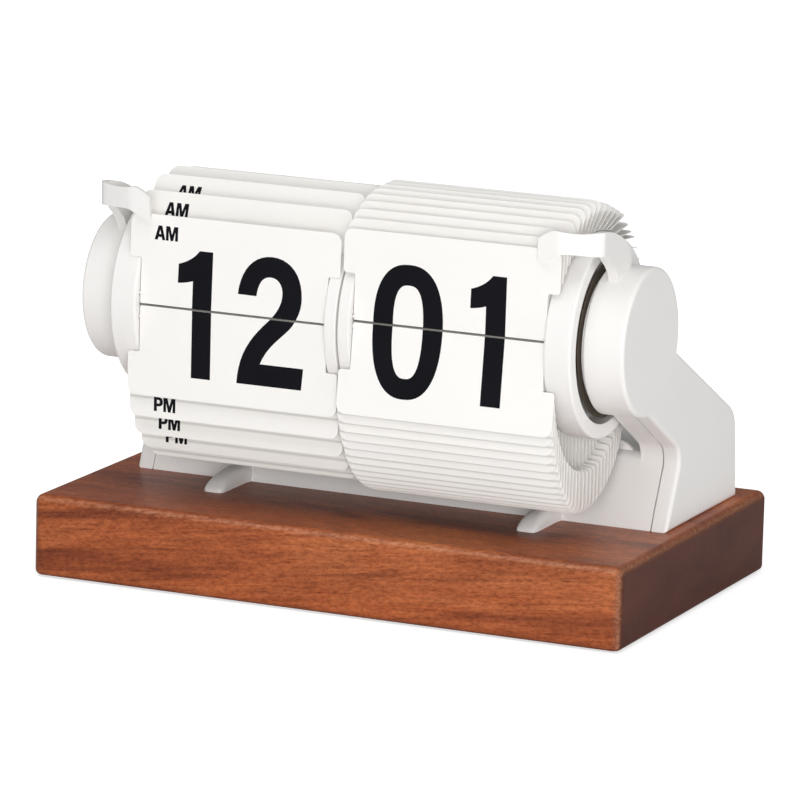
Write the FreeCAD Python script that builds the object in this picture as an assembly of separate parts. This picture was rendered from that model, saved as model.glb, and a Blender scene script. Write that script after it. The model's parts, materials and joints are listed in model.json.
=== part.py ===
import FreeCAD, Part
import math
import os

# Desk flip clock on a wooden block, in millimetres.
# Working frame: x = 0 is the middle of the clock, z = 0 is the underside of the wood, front is -y.
# save() moves every piece into the part's frame: x = 0 is the middle of the base, z = 0 is the table.

# Wooden base
base_width = 200.0
base_depth = 125.0
base_height = 26.2
base_edge_round = 2.2
clock_shift = 2.75
pad_proud = 0.6
pad_radius = 6.0
pad_inset = 12.5

# Screws that hold the chassis on the base
screw_radius = 2.0
screw_head_radius = 4.0
screw_head_height = 2.6
screw_slot = 1.0
screw_sink = 6.0
screw_bite = 9.0
screw_clearance = 0.15
boss_wall = 2.4
boss_roof = 1.0
screw_x = 66.0
screw_rows = (8.0, 34.0)

# Drum axis: distance behind the middle of the base, and height above the wood
axis_y = -29.94
axis_height = 63.57
pivot_radius = 28.3

# Leaves: distances from the middle of the clock, and from the pivot line
leaf_thickness = 0.3
leaf_inner = 0.6
leaf_inner_neck = 4.5
leaf_outer_neck = 68.5
leaf_wing = 4.0
leaf_gap = 0.2
leaf_corner = 3.0
leaf_corner_bow = 0.9
neck_corner = 1.0
ear_height = 1.0
ear_reach = 1.1
pin_radius = 0.45
pocket_size = 1.5
pocket_depth = 1.3

hour_leaves = 24
hour_phase = 7.9
hour_lean = 84.5
hour_tail = 3.14
hour_tip = 25.1
hour_notch = 11.3
hour_tilts = ()

minute_leaves = 60
minute_phase = 8.0
minute_lean = 83.0
minute_tail = 0.93
minute_tip = 27.3
minute_notch = 13.5
minute_tilts = (6.5, 4.2, 3.0, 2.0, 1.0)

# Drum flanges
flange_radius = 31.2
flange_chamfer = 0.7
flange_reach = 0.3
inner_rim_radius = 26.4
outer_rim_radius = 26.4
outer_flange_width = 9.0
web_thickness = 2.0
web_overlap = 0.5

# Hubs, shaft and clips
shaft_radius = 2.0
shaft_overhang = 2.0
running_gap = 0.08
fixed_gap = 0.05
hub_radius = 5.0
collar_radius = 6.8
collar_width = 1.5
clip_radius = 4.2
clip_width = 0.8
clip_mouth = 2.0

# Drive gears
wheel_teeth = 40
pinion_teeth = 8
gear_centres = 12.4
gear_stand_off = 2.8
gear_width = 2.8
gear_addendum = 0.42
gear_dedendum = 0.62
tooth_at_tip = 0.4
tooth_at_root = 0.9
pinion_shaft_radius = 0.9
pinion_end_gap = 0.2
motor_radius = 7.8
motor_length = 8.0
motor_bore_depth = 3.0

# Pods, covers and chassis walls
pod_radius = 23.3
pod_gap = 0.9
seam_depth = 7.4
cover_depth = 5.74
cover_wall = 1.8
cover_chamfer = 1.2
chassis_wall = 1.8
chassis_web = 2.0
disc_gap = 0.2
dust_ring_wall = 1.0
dust_ring_reach = 3.0
fit_gap = 0.1
boss_radius = 4.4
boss_length = 5.4

# Upper corners of the leg, inside the pod: (y, z) from the drum axis
throat_place = (-6.06, -19.37)
neck_place = (9.94, -0.14)

# Side outline of the legs and of the beam: (y, height above the wood)
foot_front = (-11.3, 0.0)
foot_bend = (-8.8, 6.1)
waist = (-0.27, 23.6)
shoulder = (46.05, 28.3)
foot_back = (48.9, 0.0)
foot_bend_round = 12.0
waist_round = 6.5
shoulder_round = 10.0
beam_height = 22.3
beam_front_round = 4.0
beam_back_round = 8.0
beam_wall = 2.2

# Tongues in front of the beam: (y, height above the wood)
tongue_span = (49.0, 59.0)
tongue_profile = ((-8.0, 0.0), (-31.4, 0.0), (-30.9, 1.0), (-29.0, 2.4), (-25.6, 3.8),
                  (-21.7, 4.5), (-14.0, 5.2), (-8.0, 5.4))

# Stop levers: arm (y, z) from the drum axis, bar from above (inward, y) and from the front (inward, z)
lever_stand_off = 4.6
lever_thickness = 1.6
lever_outline = ((-25.36, 36.83), (-20.06, 36.63), (-15.06, 35.73), (-9.06, 33.43), (-4.06, 30.63),
                 (-1.06, 27.43), (0.14, 23.73), (0.14, 14.23), (-10.26, 14.23), (-11.66, 21.23),
                 (-13.46, 24.83), (-16.06, 28.03), (-19.56, 29.63), (-25.36, 29.73))
lever_plan = ((0.0, -23.96), (0.0, -25.66), (11.8, -29.46), (19.5, -29.46), (19.5, -27.96),
              (11.5, -27.96), (1.6, -24.56), (1.6, -23.96))
lever_front = ((-0.2, 29.73), (-0.2, 36.83), (14.2, 37.43), (19.5, 34.63), (19.5, 27.43),
               (14.2, 27.43), (13.9, 30.23))
stud_place = (-4.56, 17.23)
stud_radius = 2.2
stud_pin_radius = 1.1
stud_pin_proud = 0.6
slot_gap = 0.5
slot_y = (-12.66, 0.94)
slot_z = (14.73, 28.23)

# Battery bay and its door at the back of the beam: heights above the wood
bay_half = 31.0
bay_floor = 3.2
bay_ceiling = 19.4
bay_depth = 18.0
bay_wall = 1.6
bay_lip = 0.5
jamb_depth = 1.6
door_gap = 0.3
door_foot_gap = 0.6
door_thickness = 1.8
door_tab_half = 6.0
door_tab_reach = 1.4
door_tab_height = 1.6
door_tab_drop = 1.0
hinge_pin_radius = 0.7
hinge_pin_length = 1.2
hinge_gap = 0.15
hinge_rise = 1.6
battery_radius = 7.1
battery_length = 49.5
battery_nub_radius = 2.75
battery_nub_length = 1.0
battery_gap = 0.6
cradle_half = 12.0
cradle_width = 4.0
contact_thickness = 0.5
contact_width = 9.0
contact_height = 11.0
spring_radius = 3.0

# Places that follow from the sizes above
axis_z = base_height + axis_height
leaf_outer = leaf_outer_neck + leaf_wing
inner_flange = (leaf_inner - flange_reach, leaf_inner_neck - leaf_gap)
inner_web = (inner_flange[0], inner_flange[0] + web_thickness)
outer_flange = (leaf_outer_neck + leaf_gap, leaf_outer_neck + leaf_gap + outer_flange_width)
outer_web = (outer_flange[0], outer_flange[0] + web_thickness)
gear_span = (outer_web[1] + gear_stand_off, outer_web[1] + gear_stand_off + gear_width)
pod_inner = outer_flange[1] + pod_gap
seam = pod_inner + seam_depth
cover_outer = seam + cover_depth
boss_end = pod_inner + boss_length
shaft_end = boss_end + shaft_overhang
lever_plate = (pod_inner + lever_stand_off, pod_inner + lever_stand_off + lever_thickness)
stud_y = axis_y + stud_place[0]
stud_z = axis_z + stud_place[1]
bay_low = base_height + bay_floor
bay_high = base_height + bay_ceiling


def vec(x, y, z):
    return FreeCAD.Vector(x, y, z)


def save(node, shape):
    moved = shape.copy()
    moved.translate(vec(clock_shift, 0.0, pad_proud))
    moved.exportStep("parts/" + node + ".step")


def box(x0, x1, y0, y1, z0, z1):
    low = vec(min(x0, x1), min(y0, y1), min(z0, z1))
    return Part.makeBox(abs(x1 - x0), abs(y1 - y0), abs(z1 - z0), low)


def rod(radius, x0, x1, y=axis_y, z=axis_z):
    return Part.makeCylinder(radius, abs(x1 - x0), vec(min(x0, x1), y, z), vec(1, 0, 0))


def post(radius, x, y, z0, z1):
    return Part.makeCylinder(radius, z1 - z0, vec(x, y, z0), vec(0, 0, 1))


def ring(outer, inner, x0, x1, y=axis_y, z=axis_z):
    return rod(outer, x0, x1, y, z).cut(rod(inner, x0, x1, y, z))


def corner_arc(before, corner, after, radius):
    """Start, middle and end of the arc that rounds one corner of an outline."""
    to_before = before.sub(corner)
    to_after = after.sub(corner)
    to_before.normalize()
    to_after.normalize()
    half = to_before.getAngle(to_after) / 2.0
    reach = radius / math.tan(half)
    bisector = to_before.add(to_after)
    bisector.normalize()
    start = corner.add(to_before * reach)
    end = corner.add(to_after * reach)
    middle = corner.add(bisector * (radius / math.sin(half) - radius))
    return start, middle, end


def outline_face(corners, x):
    """Face at one x from (y, z) or (y, z, rounding) corners."""
    points = [vec(x, c[0], c[1]) for c in corners]
    rounds = [c[2] if len(c) > 2 else 0.0 for c in corners]
    count = len(points)
    stops = []
    for i in range(count):
        if rounds[i] > 0.0:
            stops.append(corner_arc(points[i - 1], points[i], points[(i + 1) % count], rounds[i]))
        else:
            stops.append((points[i],))
    edges = []
    for i in range(count):
        here = stops[i]
        following = stops[(i + 1) % count]
        if len(here) == 3:
            edges.append(Part.Arc(here[0], here[1], here[2]).toShape())
        edges.append(Part.makeLine(here[-1], following[0]))
    return Part.Face(Part.Wire(edges))


def slab(face, width):
    return face.extrude(vec(width, 0, 0))


def on_wood(corners):
    """Corners given as heights above the wood, put into the working frame."""
    return tuple((c[0], c[1] + base_height) + tuple(c[2:]) for c in corners)


def from_axis(corners):
    return tuple((c[0] + axis_y, c[1] + axis_z) for c in corners)


def side_slab(side, span, corners, grow=0.0):
    """Outline extruded over a span of |x| on one side of the clock."""
    x0 = min(side * span[0], side * span[1])
    face = outline_face(corners, x0)
    if grow != 0.0:
        face = face.makeOffset2D(grow)
    return slab(face, span[1] - span[0])


def flat_prism(points, direction, length):
    wire = Part.makePolygon(points + [points[0]])
    return Part.Face(wire).extrude(direction * length)


# Outlines shared by the covers and the chassis
throat = (axis_y + throat_place[0], axis_height + throat_place[1])
neck_top = (axis_y + neck_place[0], axis_height + neck_place[1])
leg_outline = on_wood((neck_top, shoulder + (shoulder_round,), foot_back, foot_front,
                       foot_bend + (foot_bend_round,), waist + (waist_round,), throat))
front_slope = (waist[0] - foot_bend[0]) / (waist[1] - foot_bend[1])
back_slope = (foot_back[0] - shoulder[0]) / (shoulder[1] - foot_back[1])


def front_y(height):
    return foot_bend[0] + (height - foot_bend[1]) * front_slope


def back_y(z):
    return foot_back[0] - (z - base_height) * back_slope


beam_outline = on_wood((foot_front, foot_bend + (foot_bend_round,),
                        (front_y(beam_height), beam_height, beam_front_round),
                        (back_y(base_height + beam_height), beam_height, beam_back_round), foot_back))
tongue_outline = on_wood(tongue_profile)
battery_z = (bay_low + bay_high) / 2
battery_y = back_y(battery_z) - bay_depth + battery_radius + battery_gap
hinge_z = bay_low + hinge_rise
hinge_y = back_y(hinge_z) - door_thickness / 2


# ---------------------------------------------------------------- base
def make_base():
    middle = -clock_shift
    block = box(middle - base_width / 2, middle + base_width / 2,
                -base_depth / 2, base_depth / 2, 0.0, base_height)
    rounded = [e for e in block.Edges if e.BoundBox.ZMax > base_edge_round]
    block = block.makeFillet(base_edge_round, rounded)
    for side in (-1, 1):
        for row in screw_rows:
            sink = post(screw_head_radius + 2 * screw_clearance, side * screw_x, row, 0.0, screw_sink)
            shank = post(screw_radius + screw_clearance, side * screw_x, row, 0.0, base_height)
            block = block.cut(sink.fuse(shank))
    save("wooden_base", block)

    for side, hand in ((-1, "left"), (1, "right")):
        for end, place in ((-1, "front"), (1, "back")):
            x = middle + side * (base_width / 2 - pad_inset)
            y = end * (base_depth / 2 - pad_inset)
            save("base_pad_" + hand + "_" + place, post(pad_radius, x, y, -pad_proud, 0.0))
        for row, place in zip(screw_rows, ("front", "back")):
            head = post(screw_head_radius, side * screw_x, row, screw_sink - screw_head_height, screw_sink)
            shank = post(screw_radius, side * screw_x, row, screw_sink, base_height + screw_bite)
            slot = box(side * screw_x - screw_radius, side * screw_x + screw_radius,
                       row - screw_slot / 2, row + screw_slot / 2,
                       screw_sink - screw_head_height, screw_sink - screw_head_height / 2)
            save("base_screw_" + hand + "_" + place, head.fuse(shank).cut(slot).removeSplitter())


# ---------------------------------------------------------------- chassis
def chassis_side(side):
    """Hollow side wall with the disc that carries one end of the shaft."""
    wall = side_slab(side, (pod_inner, seam), leg_outline)
    hollow = side_slab(side, (pod_inner + chassis_web, seam), leg_outline, -chassis_wall)
    wall = wall.cut(hollow)
    disc_radius = pod_radius - cover_wall - disc_gap
    disc = rod(disc_radius, side * pod_inner, side * (pod_inner + chassis_web))
    dust_ring = ring(disc_radius, disc_radius - dust_ring_wall, side * (pod_inner - dust_ring_reach), side * pod_inner)
    boss = rod(boss_radius, side * pod_inner, side * boss_end)
    stud = rod(stud_radius, side * pod_inner, side * lever_plate[0], stud_y, stud_z)
    pin = rod(stud_pin_radius, side * lever_plate[0], side * (lever_plate[1] + stud_pin_proud), stud_y, stud_z)
    shape = wall.fuse([disc, dust_ring, boss, stud, pin])
    shape = shape.cut(rod(shaft_radius + fixed_gap, side * pod_inner, side * boss_end))
    return shape


def bay_band(half, low, high, outer, inner):
    """Strip parallel to the sloping back face, between two depths below it."""
    corners = ((back_y(low) - outer, low), (back_y(high) - outer, high),
               (back_y(high) - inner, high), (back_y(low) - inner, low))
    return slab(outline_face(corners, -half), 2 * half)


def make_chassis():
    solid_beam = slab(outline_face(beam_outline, -pod_inner), 2 * pod_inner)
    hollow = slab(outline_face(beam_outline, -pod_inner).makeOffset2D(-beam_wall), 2 * pod_inner)
    under = box(-pod_inner, pod_inner, front_y(0.0) + 2 * beam_wall, back_y(base_height) - 2 * beam_wall,
                base_height, base_height + 2 * beam_wall)
    beam = solid_beam.cut(hollow.fuse(under))
    beam = beam.fuse(bay_band(bay_half + bay_wall, bay_low - bay_wall, bay_high + bay_wall,
                              bay_lip, bay_depth + bay_wall))
    jamb = box(-bay_half - bay_wall, bay_half + bay_wall, hinge_y - jamb_depth, hinge_y + jamb_depth,
               bay_low - bay_wall, bay_high + bay_wall)
    beam = beam.fuse(jamb.common(solid_beam))
    beam = beam.cut(bay_band(bay_half, bay_low, bay_high, -bay_lip, bay_depth))
    beam = beam.cut(rod(hinge_pin_radius + hinge_gap, -bay_half - hinge_pin_length - hinge_gap,
                        bay_half + hinge_pin_length + hinge_gap, hinge_y, hinge_z))

    parts = [chassis_side(-1), chassis_side(1)]
    for side in (-1, 1):
        parts.append(side_slab(side, tongue_span, tongue_outline))
        for row in screw_rows:
            parts.append(post(screw_radius + boss_wall, side * screw_x, row, base_height,
                              base_height + beam_height - boss_roof))
    parts.append(box(-cradle_half, cradle_half, battery_y - cradle_width / 2, battery_y + cradle_width / 2,
                     bay_low, battery_z - battery_radius))
    chassis = beam.fuse(parts)
    for side in (-1, 1):
        for row in screw_rows:
            hole = post(screw_radius + screw_clearance, side * screw_x, row, base_height,
                        base_height + screw_bite + boss_roof)
            chassis = chassis.cut(hole)
    hole = rod(pinion_shaft_radius + 2 * fit_gap, pod_inner, pod_inner + chassis_web,
               axis_y - gear_centres, axis_z)
    save("chassis", chassis.cut(hole).removeSplitter())


# ---------------------------------------------------------------- covers and levers
def make_cover(side):
    pod = rod(pod_radius, side * pod_inner, side * cover_outer)
    leg = side_slab(side, (seam, cover_outer), leg_outline)
    skin = pod.fuse(leg).removeSplitter()
    face_x = side * cover_outer
    rim = [e for e in skin.Edges
           if abs(e.BoundBox.XMin - face_x) < 0.01 and abs(e.BoundBox.XMax - face_x) < 0.01]
    skin = skin.makeChamfer(cover_chamfer, rim)
    inside = rod(pod_radius - cover_wall, side * pod_inner, side * (cover_outer - cover_wall))
    inside = inside.fuse(side_slab(side, (seam, cover_outer - cover_wall), leg_outline, -cover_wall))
    neck = side_slab(side, (pod_inner, seam), leg_outline, fit_gap)
    slot = box(side * (lever_plate[0] - slot_gap), side * (lever_plate[1] + slot_gap),
               axis_y + slot_y[0], axis_y + slot_y[1], axis_z + slot_z[0], axis_z + slot_z[1])
    return skin.cut(inside).cut(neck).cut(slot)


def make_lever(side):
    arm = side_slab(side, lever_plate, from_axis(lever_outline))
    outer = lever_plate[1]
    depths = [p[1] for p in lever_plan]
    heights = [p[1] for p in lever_front]
    plan = flat_prism([vec(side * (outer - p[0]), axis_y + p[1], axis_z + min(heights)) for p in lever_plan],
                      vec(0, 0, 1), max(heights) - min(heights))
    front = flat_prism([vec(side * (outer - p[0]), axis_y + min(depths), axis_z + p[1]) for p in lever_front],
                       vec(0, 1, 0), max(depths) - min(depths))
    lever = arm.fuse(plan.common(front))
    hole = rod(stud_pin_radius + fixed_gap, side * lever_plate[0], side * lever_plate[1], stud_y, stud_z)
    return lever.cut(hole).removeSplitter()


# ---------------------------------------------------------------- shaft, motor and gears
def gear_face(x, teeth, pitch_radius, phase, y, z):
    """Straight-sided teeth around one centre; phase is the angle of the first tooth from +y."""
    root = pitch_radius - gear_dedendum
    tip = pitch_radius + gear_addendum
    root_half = tooth_at_root / (2 * root)
    tip_half = tooth_at_tip / (2 * tip)
    points = []
    for i in range(teeth):
        centre = math.radians(phase) + 2 * math.pi * i / teeth
        for radius, angle in ((root, -root_half), (tip, -tip_half), (tip, tip_half), (root, root_half)):
            points.append(vec(x, y + radius * math.cos(centre + angle), z + radius * math.sin(centre + angle)))
    return Part.Face(Part.makePolygon(points + [points[0]]))


def make_drive():
    wheel_radius = gear_centres * wheel_teeth / (wheel_teeth + pinion_teeth)
    pinion_radius = gear_centres - wheel_radius
    width = gear_span[1] - gear_span[0]
    wheel = slab(gear_face(gear_span[0], wheel_teeth, wheel_radius, 180.0, axis_y, axis_z), width)
    sleeve = rod(collar_radius, outer_web[1], gear_span[0])
    wheel = wheel.fuse(sleeve).cut(rod(hub_radius + fixed_gap, outer_web[1], gear_span[1]))
    save("minute_drive_gear", wheel.removeSplitter())

    pinion_y = axis_y - gear_centres
    teeth = slab(gear_face(gear_span[0], pinion_teeth, pinion_radius, 180.0 / pinion_teeth, pinion_y, axis_z),
                 width)
    stem = rod(pinion_shaft_radius, gear_span[0], pod_inner + chassis_web + motor_bore_depth - pinion_end_gap,
               pinion_y, axis_z)
    save("motor_pinion", teeth.fuse(stem).removeSplitter())

    motor_face = pod_inner + chassis_web
    motor = rod(motor_radius, motor_face, motor_face + motor_length, pinion_y, axis_z)
    motor = motor.cut(rod(pinion_shaft_radius + running_gap, motor_face, motor_face + motor_bore_depth,
                          pinion_y, axis_z))
    save("motor", motor)


def make_shaft():
    save("drum_shaft", rod(shaft_radius, -shaft_end, shaft_end))
    for side, hand in ((-1, "left"), (1, "right")):
        clip = ring(clip_radius, shaft_radius + fixed_gap, side * boss_end, side * (boss_end + clip_width))
        gap = box(side * boss_end, side * (boss_end + clip_width),
                  axis_y - clip_mouth / 2, axis_y + clip_mouth / 2, axis_z - 2 * clip_radius, axis_z)
        save("shaft_clip_" + hand, clip.cut(gap))


# ---------------------------------------------------------------- drums
def drum_point(angle, radius):
    """Point on the drum: angle is measured from the front horizontal, up and over the top."""
    a = math.radians(angle)
    return axis_y - radius * math.cos(a), axis_z + radius * math.sin(a)


def pockets(side, face_x, depth, count, phase):
    cuts = []
    for i in range(count):
        y, z = drum_point(phase + 360.0 * i / count, pivot_radius)
        half = pocket_size / 2
        cut = box(face_x, face_x + depth, y - half, y + half, z - half, z + half)
        cut.rotate(vec(face_x, y, z), vec(1, 0, 0), -(phase + 360.0 * i / count))
        cuts.append(cut)
    return Part.makeCompound(cuts)


def flange(side, span, rim_radius, web, count, phase, leaf_face):
    rim = ring(flange_radius, rim_radius, side * span[0], side * span[1])
    sharp = [e for e in rim.Edges if abs(e.BoundBox.ZMax - axis_z - flange_radius) < 0.01
             and e.BoundBox.XLength < 0.01]
    rim = rim.makeChamfer(flange_chamfer, sharp)
    plate = rod(rim_radius + web_overlap, side * web[0], side * web[1])
    shape = rim.fuse(plate).cut(rod(hub_radius + fixed_gap, side * span[0], side * span[1]))
    inward = side if leaf_face == span[0] else -side
    shape = shape.removeSplitter()
    return shape.cut(pockets(side, side * leaf_face, inward * pocket_depth, count, phase))


def hub(side, bare_end):
    tube = rod(hub_radius, side * leaf_inner, side * bare_end)
    inner_collar = rod(collar_radius, side * inner_web[1], side * (inner_web[1] + collar_width))
    outer_collar = rod(collar_radius, side * (outer_web[0] - collar_width), side * outer_web[0])
    shape = tube.fuse([inner_collar, outer_collar])
    return shape.cut(rod(shaft_radius + running_gap, side * leaf_inner, side * bare_end)).removeSplitter()


def leaf(side, y, z, direction, tail, tip, notch):
    """One leaf; direction is the way from pivot to tip, from the front horizontal upwards."""
    a = math.radians(direction)
    along = vec(0.0, -math.cos(a), math.sin(a))
    across = vec(0.0, -along.z, along.y)
    ear = ear_height / 2
    cut = leaf_corner - leaf_corner_bow * 2
    reach = ear_reach + leaf_gap
    pivot = vec(0.0, y, z).sub(across * (leaf_thickness / 2))

    def at(x, s):
        return vec(side * x, 0.0, 0.0).add(pivot).add(along * s)

    outline = [
        at(leaf_inner_neck, -tail), at(leaf_outer_neck, -tail),
        at(leaf_outer_neck, -ear), at(leaf_outer_neck + reach, -ear),
        at(leaf_outer_neck + reach, ear), at(leaf_outer_neck, ear),
        at(leaf_outer_neck, notch), at(leaf_outer - neck_corner, notch), at(leaf_outer, notch + neck_corner),
        at(leaf_outer, tip - leaf_corner), at(leaf_outer - cut, tip - cut), at(leaf_outer - leaf_corner, tip),
        at(leaf_inner + leaf_corner, tip), at(leaf_inner + cut, tip - cut), at(leaf_inner, tip - leaf_corner),
        at(leaf_inner, notch + neck_corner), at(leaf_inner + neck_corner, notch), at(leaf_inner_neck, notch),
        at(leaf_inner_neck, ear), at(leaf_inner_neck - reach, ear),
        at(leaf_inner_neck - reach, -ear), at(leaf_inner_neck, -ear),
    ]
    return flat_prism(outline, across, leaf_thickness)


def make_drum(name, side, count, phase, lean, tail, tip, notch, tilts, bare_end):
    step = 360.0 / count
    standing = []
    hanging = []
    for i in range(count):
        angle = phase + step * i
        y, z = drum_point(angle, pivot_radius)
        if angle + lean < 270.0:
            standing.append(leaf(side, y, z, angle + lean, tail, tip, notch))
        else:
            back = count - 1 - i
            tilt = tilts[back] if back < len(tilts) else 0.0
            hanging.append(leaf(side, y, z, 270.0 + tilt, tail, tip, notch))
    y, z = drum_point(phase, pivot_radius)
    reach = leaf_gap + ear_reach
    pins = [rod(pin_radius, side * (leaf_inner_neck - reach), side * (leaf_inner_neck + ear_reach), y, z),
            rod(pin_radius, side * (leaf_outer_neck - ear_reach), side * (leaf_outer_neck + reach), y, z)]
    save(name + "_front_leaf", standing[0].fuse(pins).removeSplitter())
    save(name + "_lower_leaf", hanging[-1])
    save(name + "_leaves_standing", Part.makeCompound(standing[1:]))
    save(name + "_leaves_hanging", Part.makeCompound(hanging[:-1]))
    save(name + "_inner_flange",
         flange(side, inner_flange, inner_rim_radius, inner_web, count, phase, inner_flange[1]))
    save(name + "_outer_flange",
         flange(side, outer_flange, outer_rim_radius, outer_web, count, phase, outer_flange[0]))
    save(name + "_hub", hub(side, bare_end))


# ---------------------------------------------------------------- battery and door
def make_battery():
    z = battery_z
    y = battery_y
    cell_low = -battery_length / 2
    cell = rod(battery_radius, cell_low, cell_low + battery_length, y, z)
    nub_low = cell_low + battery_length
    nub = rod(battery_nub_radius, nub_low, nub_low + battery_nub_length, y, z)
    save("battery", cell.fuse(nub).removeSplitter())
    for end, name in ((-1, "battery_spring_contact"), (1, "battery_plate_contact")):
        wall_x = end * bay_half
        face_x = wall_x - end * contact_thickness
        plate = box(wall_x, face_x, y - contact_width / 2, y + contact_width / 2,
                    z - contact_height / 2, z + contact_height / 2)
        near = cell_low if end < 0 else nub_low + battery_nub_length
        bump = rod(spring_radius, face_x, near, y, z)
        save(name, plate.fuse(bump).removeSplitter())


def make_door():
    low = bay_low + door_foot_gap
    high = bay_high - door_gap
    half = bay_half - door_gap
    door = bay_band(half, low, high, 0.0, door_thickness)
    pins = rod(hinge_pin_radius, -bay_half - hinge_pin_length, bay_half + hinge_pin_length, hinge_y, hinge_z)
    tab_top = high - door_tab_drop
    tab = bay_band(door_tab_half, tab_top - door_tab_height, tab_top, -door_tab_reach, fit_gap)
    save("battery_door", door.fuse([pins, tab]).removeSplitter())


make_base()
make_chassis()
for side, hand in ((-1, "left"), (1, "right")):
    save(hand + "_cover", make_cover(side))
    save(hand + "_stop_lever", make_lever(side))
make_shaft()
make_drive()
make_drum("hour", -1, hour_leaves, hour_phase, hour_lean, hour_tail, hour_tip, hour_notch,
          hour_tilts, outer_web[1])
make_drum("minute", 1, minute_leaves, minute_phase, minute_lean, minute_tail, minute_tip, minute_notch,
          minute_tilts, gear_span[1])
make_battery()
make_door()
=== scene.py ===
import json
import math

import bmesh
import bpy
from mathutils import Matrix, Vector
from mathutils.geometry import tessellate_polygon


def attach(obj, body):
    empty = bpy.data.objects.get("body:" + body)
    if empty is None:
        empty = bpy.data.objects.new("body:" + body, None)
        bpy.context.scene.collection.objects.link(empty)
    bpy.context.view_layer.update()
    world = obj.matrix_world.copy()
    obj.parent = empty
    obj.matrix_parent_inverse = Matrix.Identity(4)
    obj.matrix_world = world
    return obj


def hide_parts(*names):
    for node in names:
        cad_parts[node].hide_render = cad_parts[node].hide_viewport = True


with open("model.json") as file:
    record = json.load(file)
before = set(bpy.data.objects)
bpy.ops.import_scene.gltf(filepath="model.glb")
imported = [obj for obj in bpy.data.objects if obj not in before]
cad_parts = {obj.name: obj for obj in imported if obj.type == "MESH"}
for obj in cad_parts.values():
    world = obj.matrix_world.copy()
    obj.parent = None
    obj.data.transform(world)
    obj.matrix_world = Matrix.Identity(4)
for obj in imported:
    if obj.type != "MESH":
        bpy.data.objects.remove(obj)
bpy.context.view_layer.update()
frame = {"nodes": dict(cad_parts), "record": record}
nodes = frame["nodes"]
bodies = frame["record"]["behaviour"]["bodies"]
bodyOf = {node: body for body, members in bodies.items() for node in members}
hands = ((-1, "left"), (1, "right"))

# Sizes are in millimetres from the middle of the clock and the underside of the wood.
# place() turns them into metres in the part's frame.
clock = {
    "shiftX": 2.75,
    "padProud": 0.6,
    "axisY": -29.94,
    "axisZ": 89.77,
    "pivotRadius": 28.3,
    "woodTop": 26.2,
}


def place(x, y, z):
    return Vector(((x + clock["shiftX"]) / 1000, y / 1000, (z + clock["padProud"]) / 1000))


def addObject(name, data):
    obj = bpy.data.objects.new(name, data)
    bpy.context.scene.collection.objects.link(obj)
    return obj


def newMesh(name, points, faces):
    mesh = bpy.data.meshes.new(name)
    mesh.from_pydata(points, [], faces)
    return mesh


def newPiece(name, points, faces, smoothAngle):
    obj = addObject(name, newMesh(name, [place(*p) for p in points], faces))
    cleanMesh(obj, smoothAngle)
    return obj


def cleanMesh(obj, smoothAngle, mergeGap=0.000002):
    bm = bmesh.new()
    bm.from_mesh(obj.data)
    bmesh.ops.remove_doubles(bm, verts=bm.verts, dist=mergeGap)
    bmesh.ops.dissolve_degenerate(bm, edges=bm.edges, dist=mergeGap)
    bmesh.ops.recalc_face_normals(bm, faces=bm.faces)
    bm.to_mesh(obj.data)
    bm.free()
    smoothFaces(obj, smoothAngle)


def smoothFaces(obj, smoothAngle):
    obj.data.shade_smooth()
    obj.data.set_sharp_from_angle(angle=math.radians(smoothAngle))


def bake(obj):
    # the modifiers become part of one plain mesh
    bpy.context.view_layer.update()
    shown = obj.evaluated_get(bpy.context.evaluated_depsgraph_get())
    mesh = bpy.data.meshes.new_from_object(shown, preserve_all_data_layers=True,
                                           depsgraph=bpy.context.evaluated_depsgraph_get())
    obj.modifiers.clear()
    obj.data = mesh
    mesh.name = obj.name
    return obj


def evenShading(obj, weight=90):
    weighted = obj.modifiers.new("evenShading", "WEIGHTED_NORMAL")
    weighted.mode = "FACE_AREA"
    weighted.weight = weight
    weighted.keep_sharp = True
    return bake(obj)


def easeEdges(obj, width, segments, angle, smoothAngle):
    bevel = obj.modifiers.new("easedEdges", "BEVEL")
    bevel.width = width / 1000
    bevel.segments = segments
    bevel.limit_method = "ANGLE"
    bevel.angle_limit = math.radians(angle)
    bake(obj)
    smoothFaces(obj, smoothAngle)
    return evenShading(obj)


cadMesh = {
    "mergeGap": 0.000004,
    "flatAngle": 0.6,
    "bevelAngle": 35,
    "smoothAngle": 30,
}


def softened(node, name, width, segments, reshape=None):
    # a copy of a CAD node with its hard edges eased
    obj = nodes[node].copy()
    obj.data = nodes[node].data.copy()
    obj.name = name
    obj.parent = None
    for key in list(obj.keys()):
        del obj[key]
    bpy.context.scene.collection.objects.link(obj)
    bm = bmesh.new()
    bm.from_mesh(obj.data)
    bmesh.ops.remove_doubles(bm, verts=bm.verts, dist=cadMesh["mergeGap"])
    flat = math.radians(cadMesh["flatAngle"])
    bmesh.ops.dissolve_limit(bm, angle_limit=flat, verts=bm.verts, edges=bm.edges)
    if reshape:
        reshape(bm)
    bm.to_mesh(obj.data)
    bm.free()
    return easeEdges(obj, width, segments, cadMesh["bevelAngle"], cadMesh["smoothAngle"])


def finish(obj, body, slotName, material, *replaced):
    if material:
        obj.data.materials.clear()
        obj.data.materials.append(material)
    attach(obj, body)
    if replaced:
        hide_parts(*replaced)
    return obj


def paint(obj, name, valueAt):
    # a value at each point of the mesh, from its place in millimetres, for a material to read
    layer = obj.data.attributes.new(name, "FLOAT", "POINT")
    for vertex in obj.data.vertices:
        layer.data[vertex.index].value = valueAt(*(1000 * c for c in vertex.co))


def limited(value):
    return max(0.0, min(1.0, value))


def quarterTurn(steps, first=0):
    # cosine and sine at even steps from 0 to 90 degrees
    turns = [math.radians(90 * k / steps) for k in range(first, steps + 1)]
    return [(math.cos(t), math.sin(t)) for t in turns]


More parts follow.
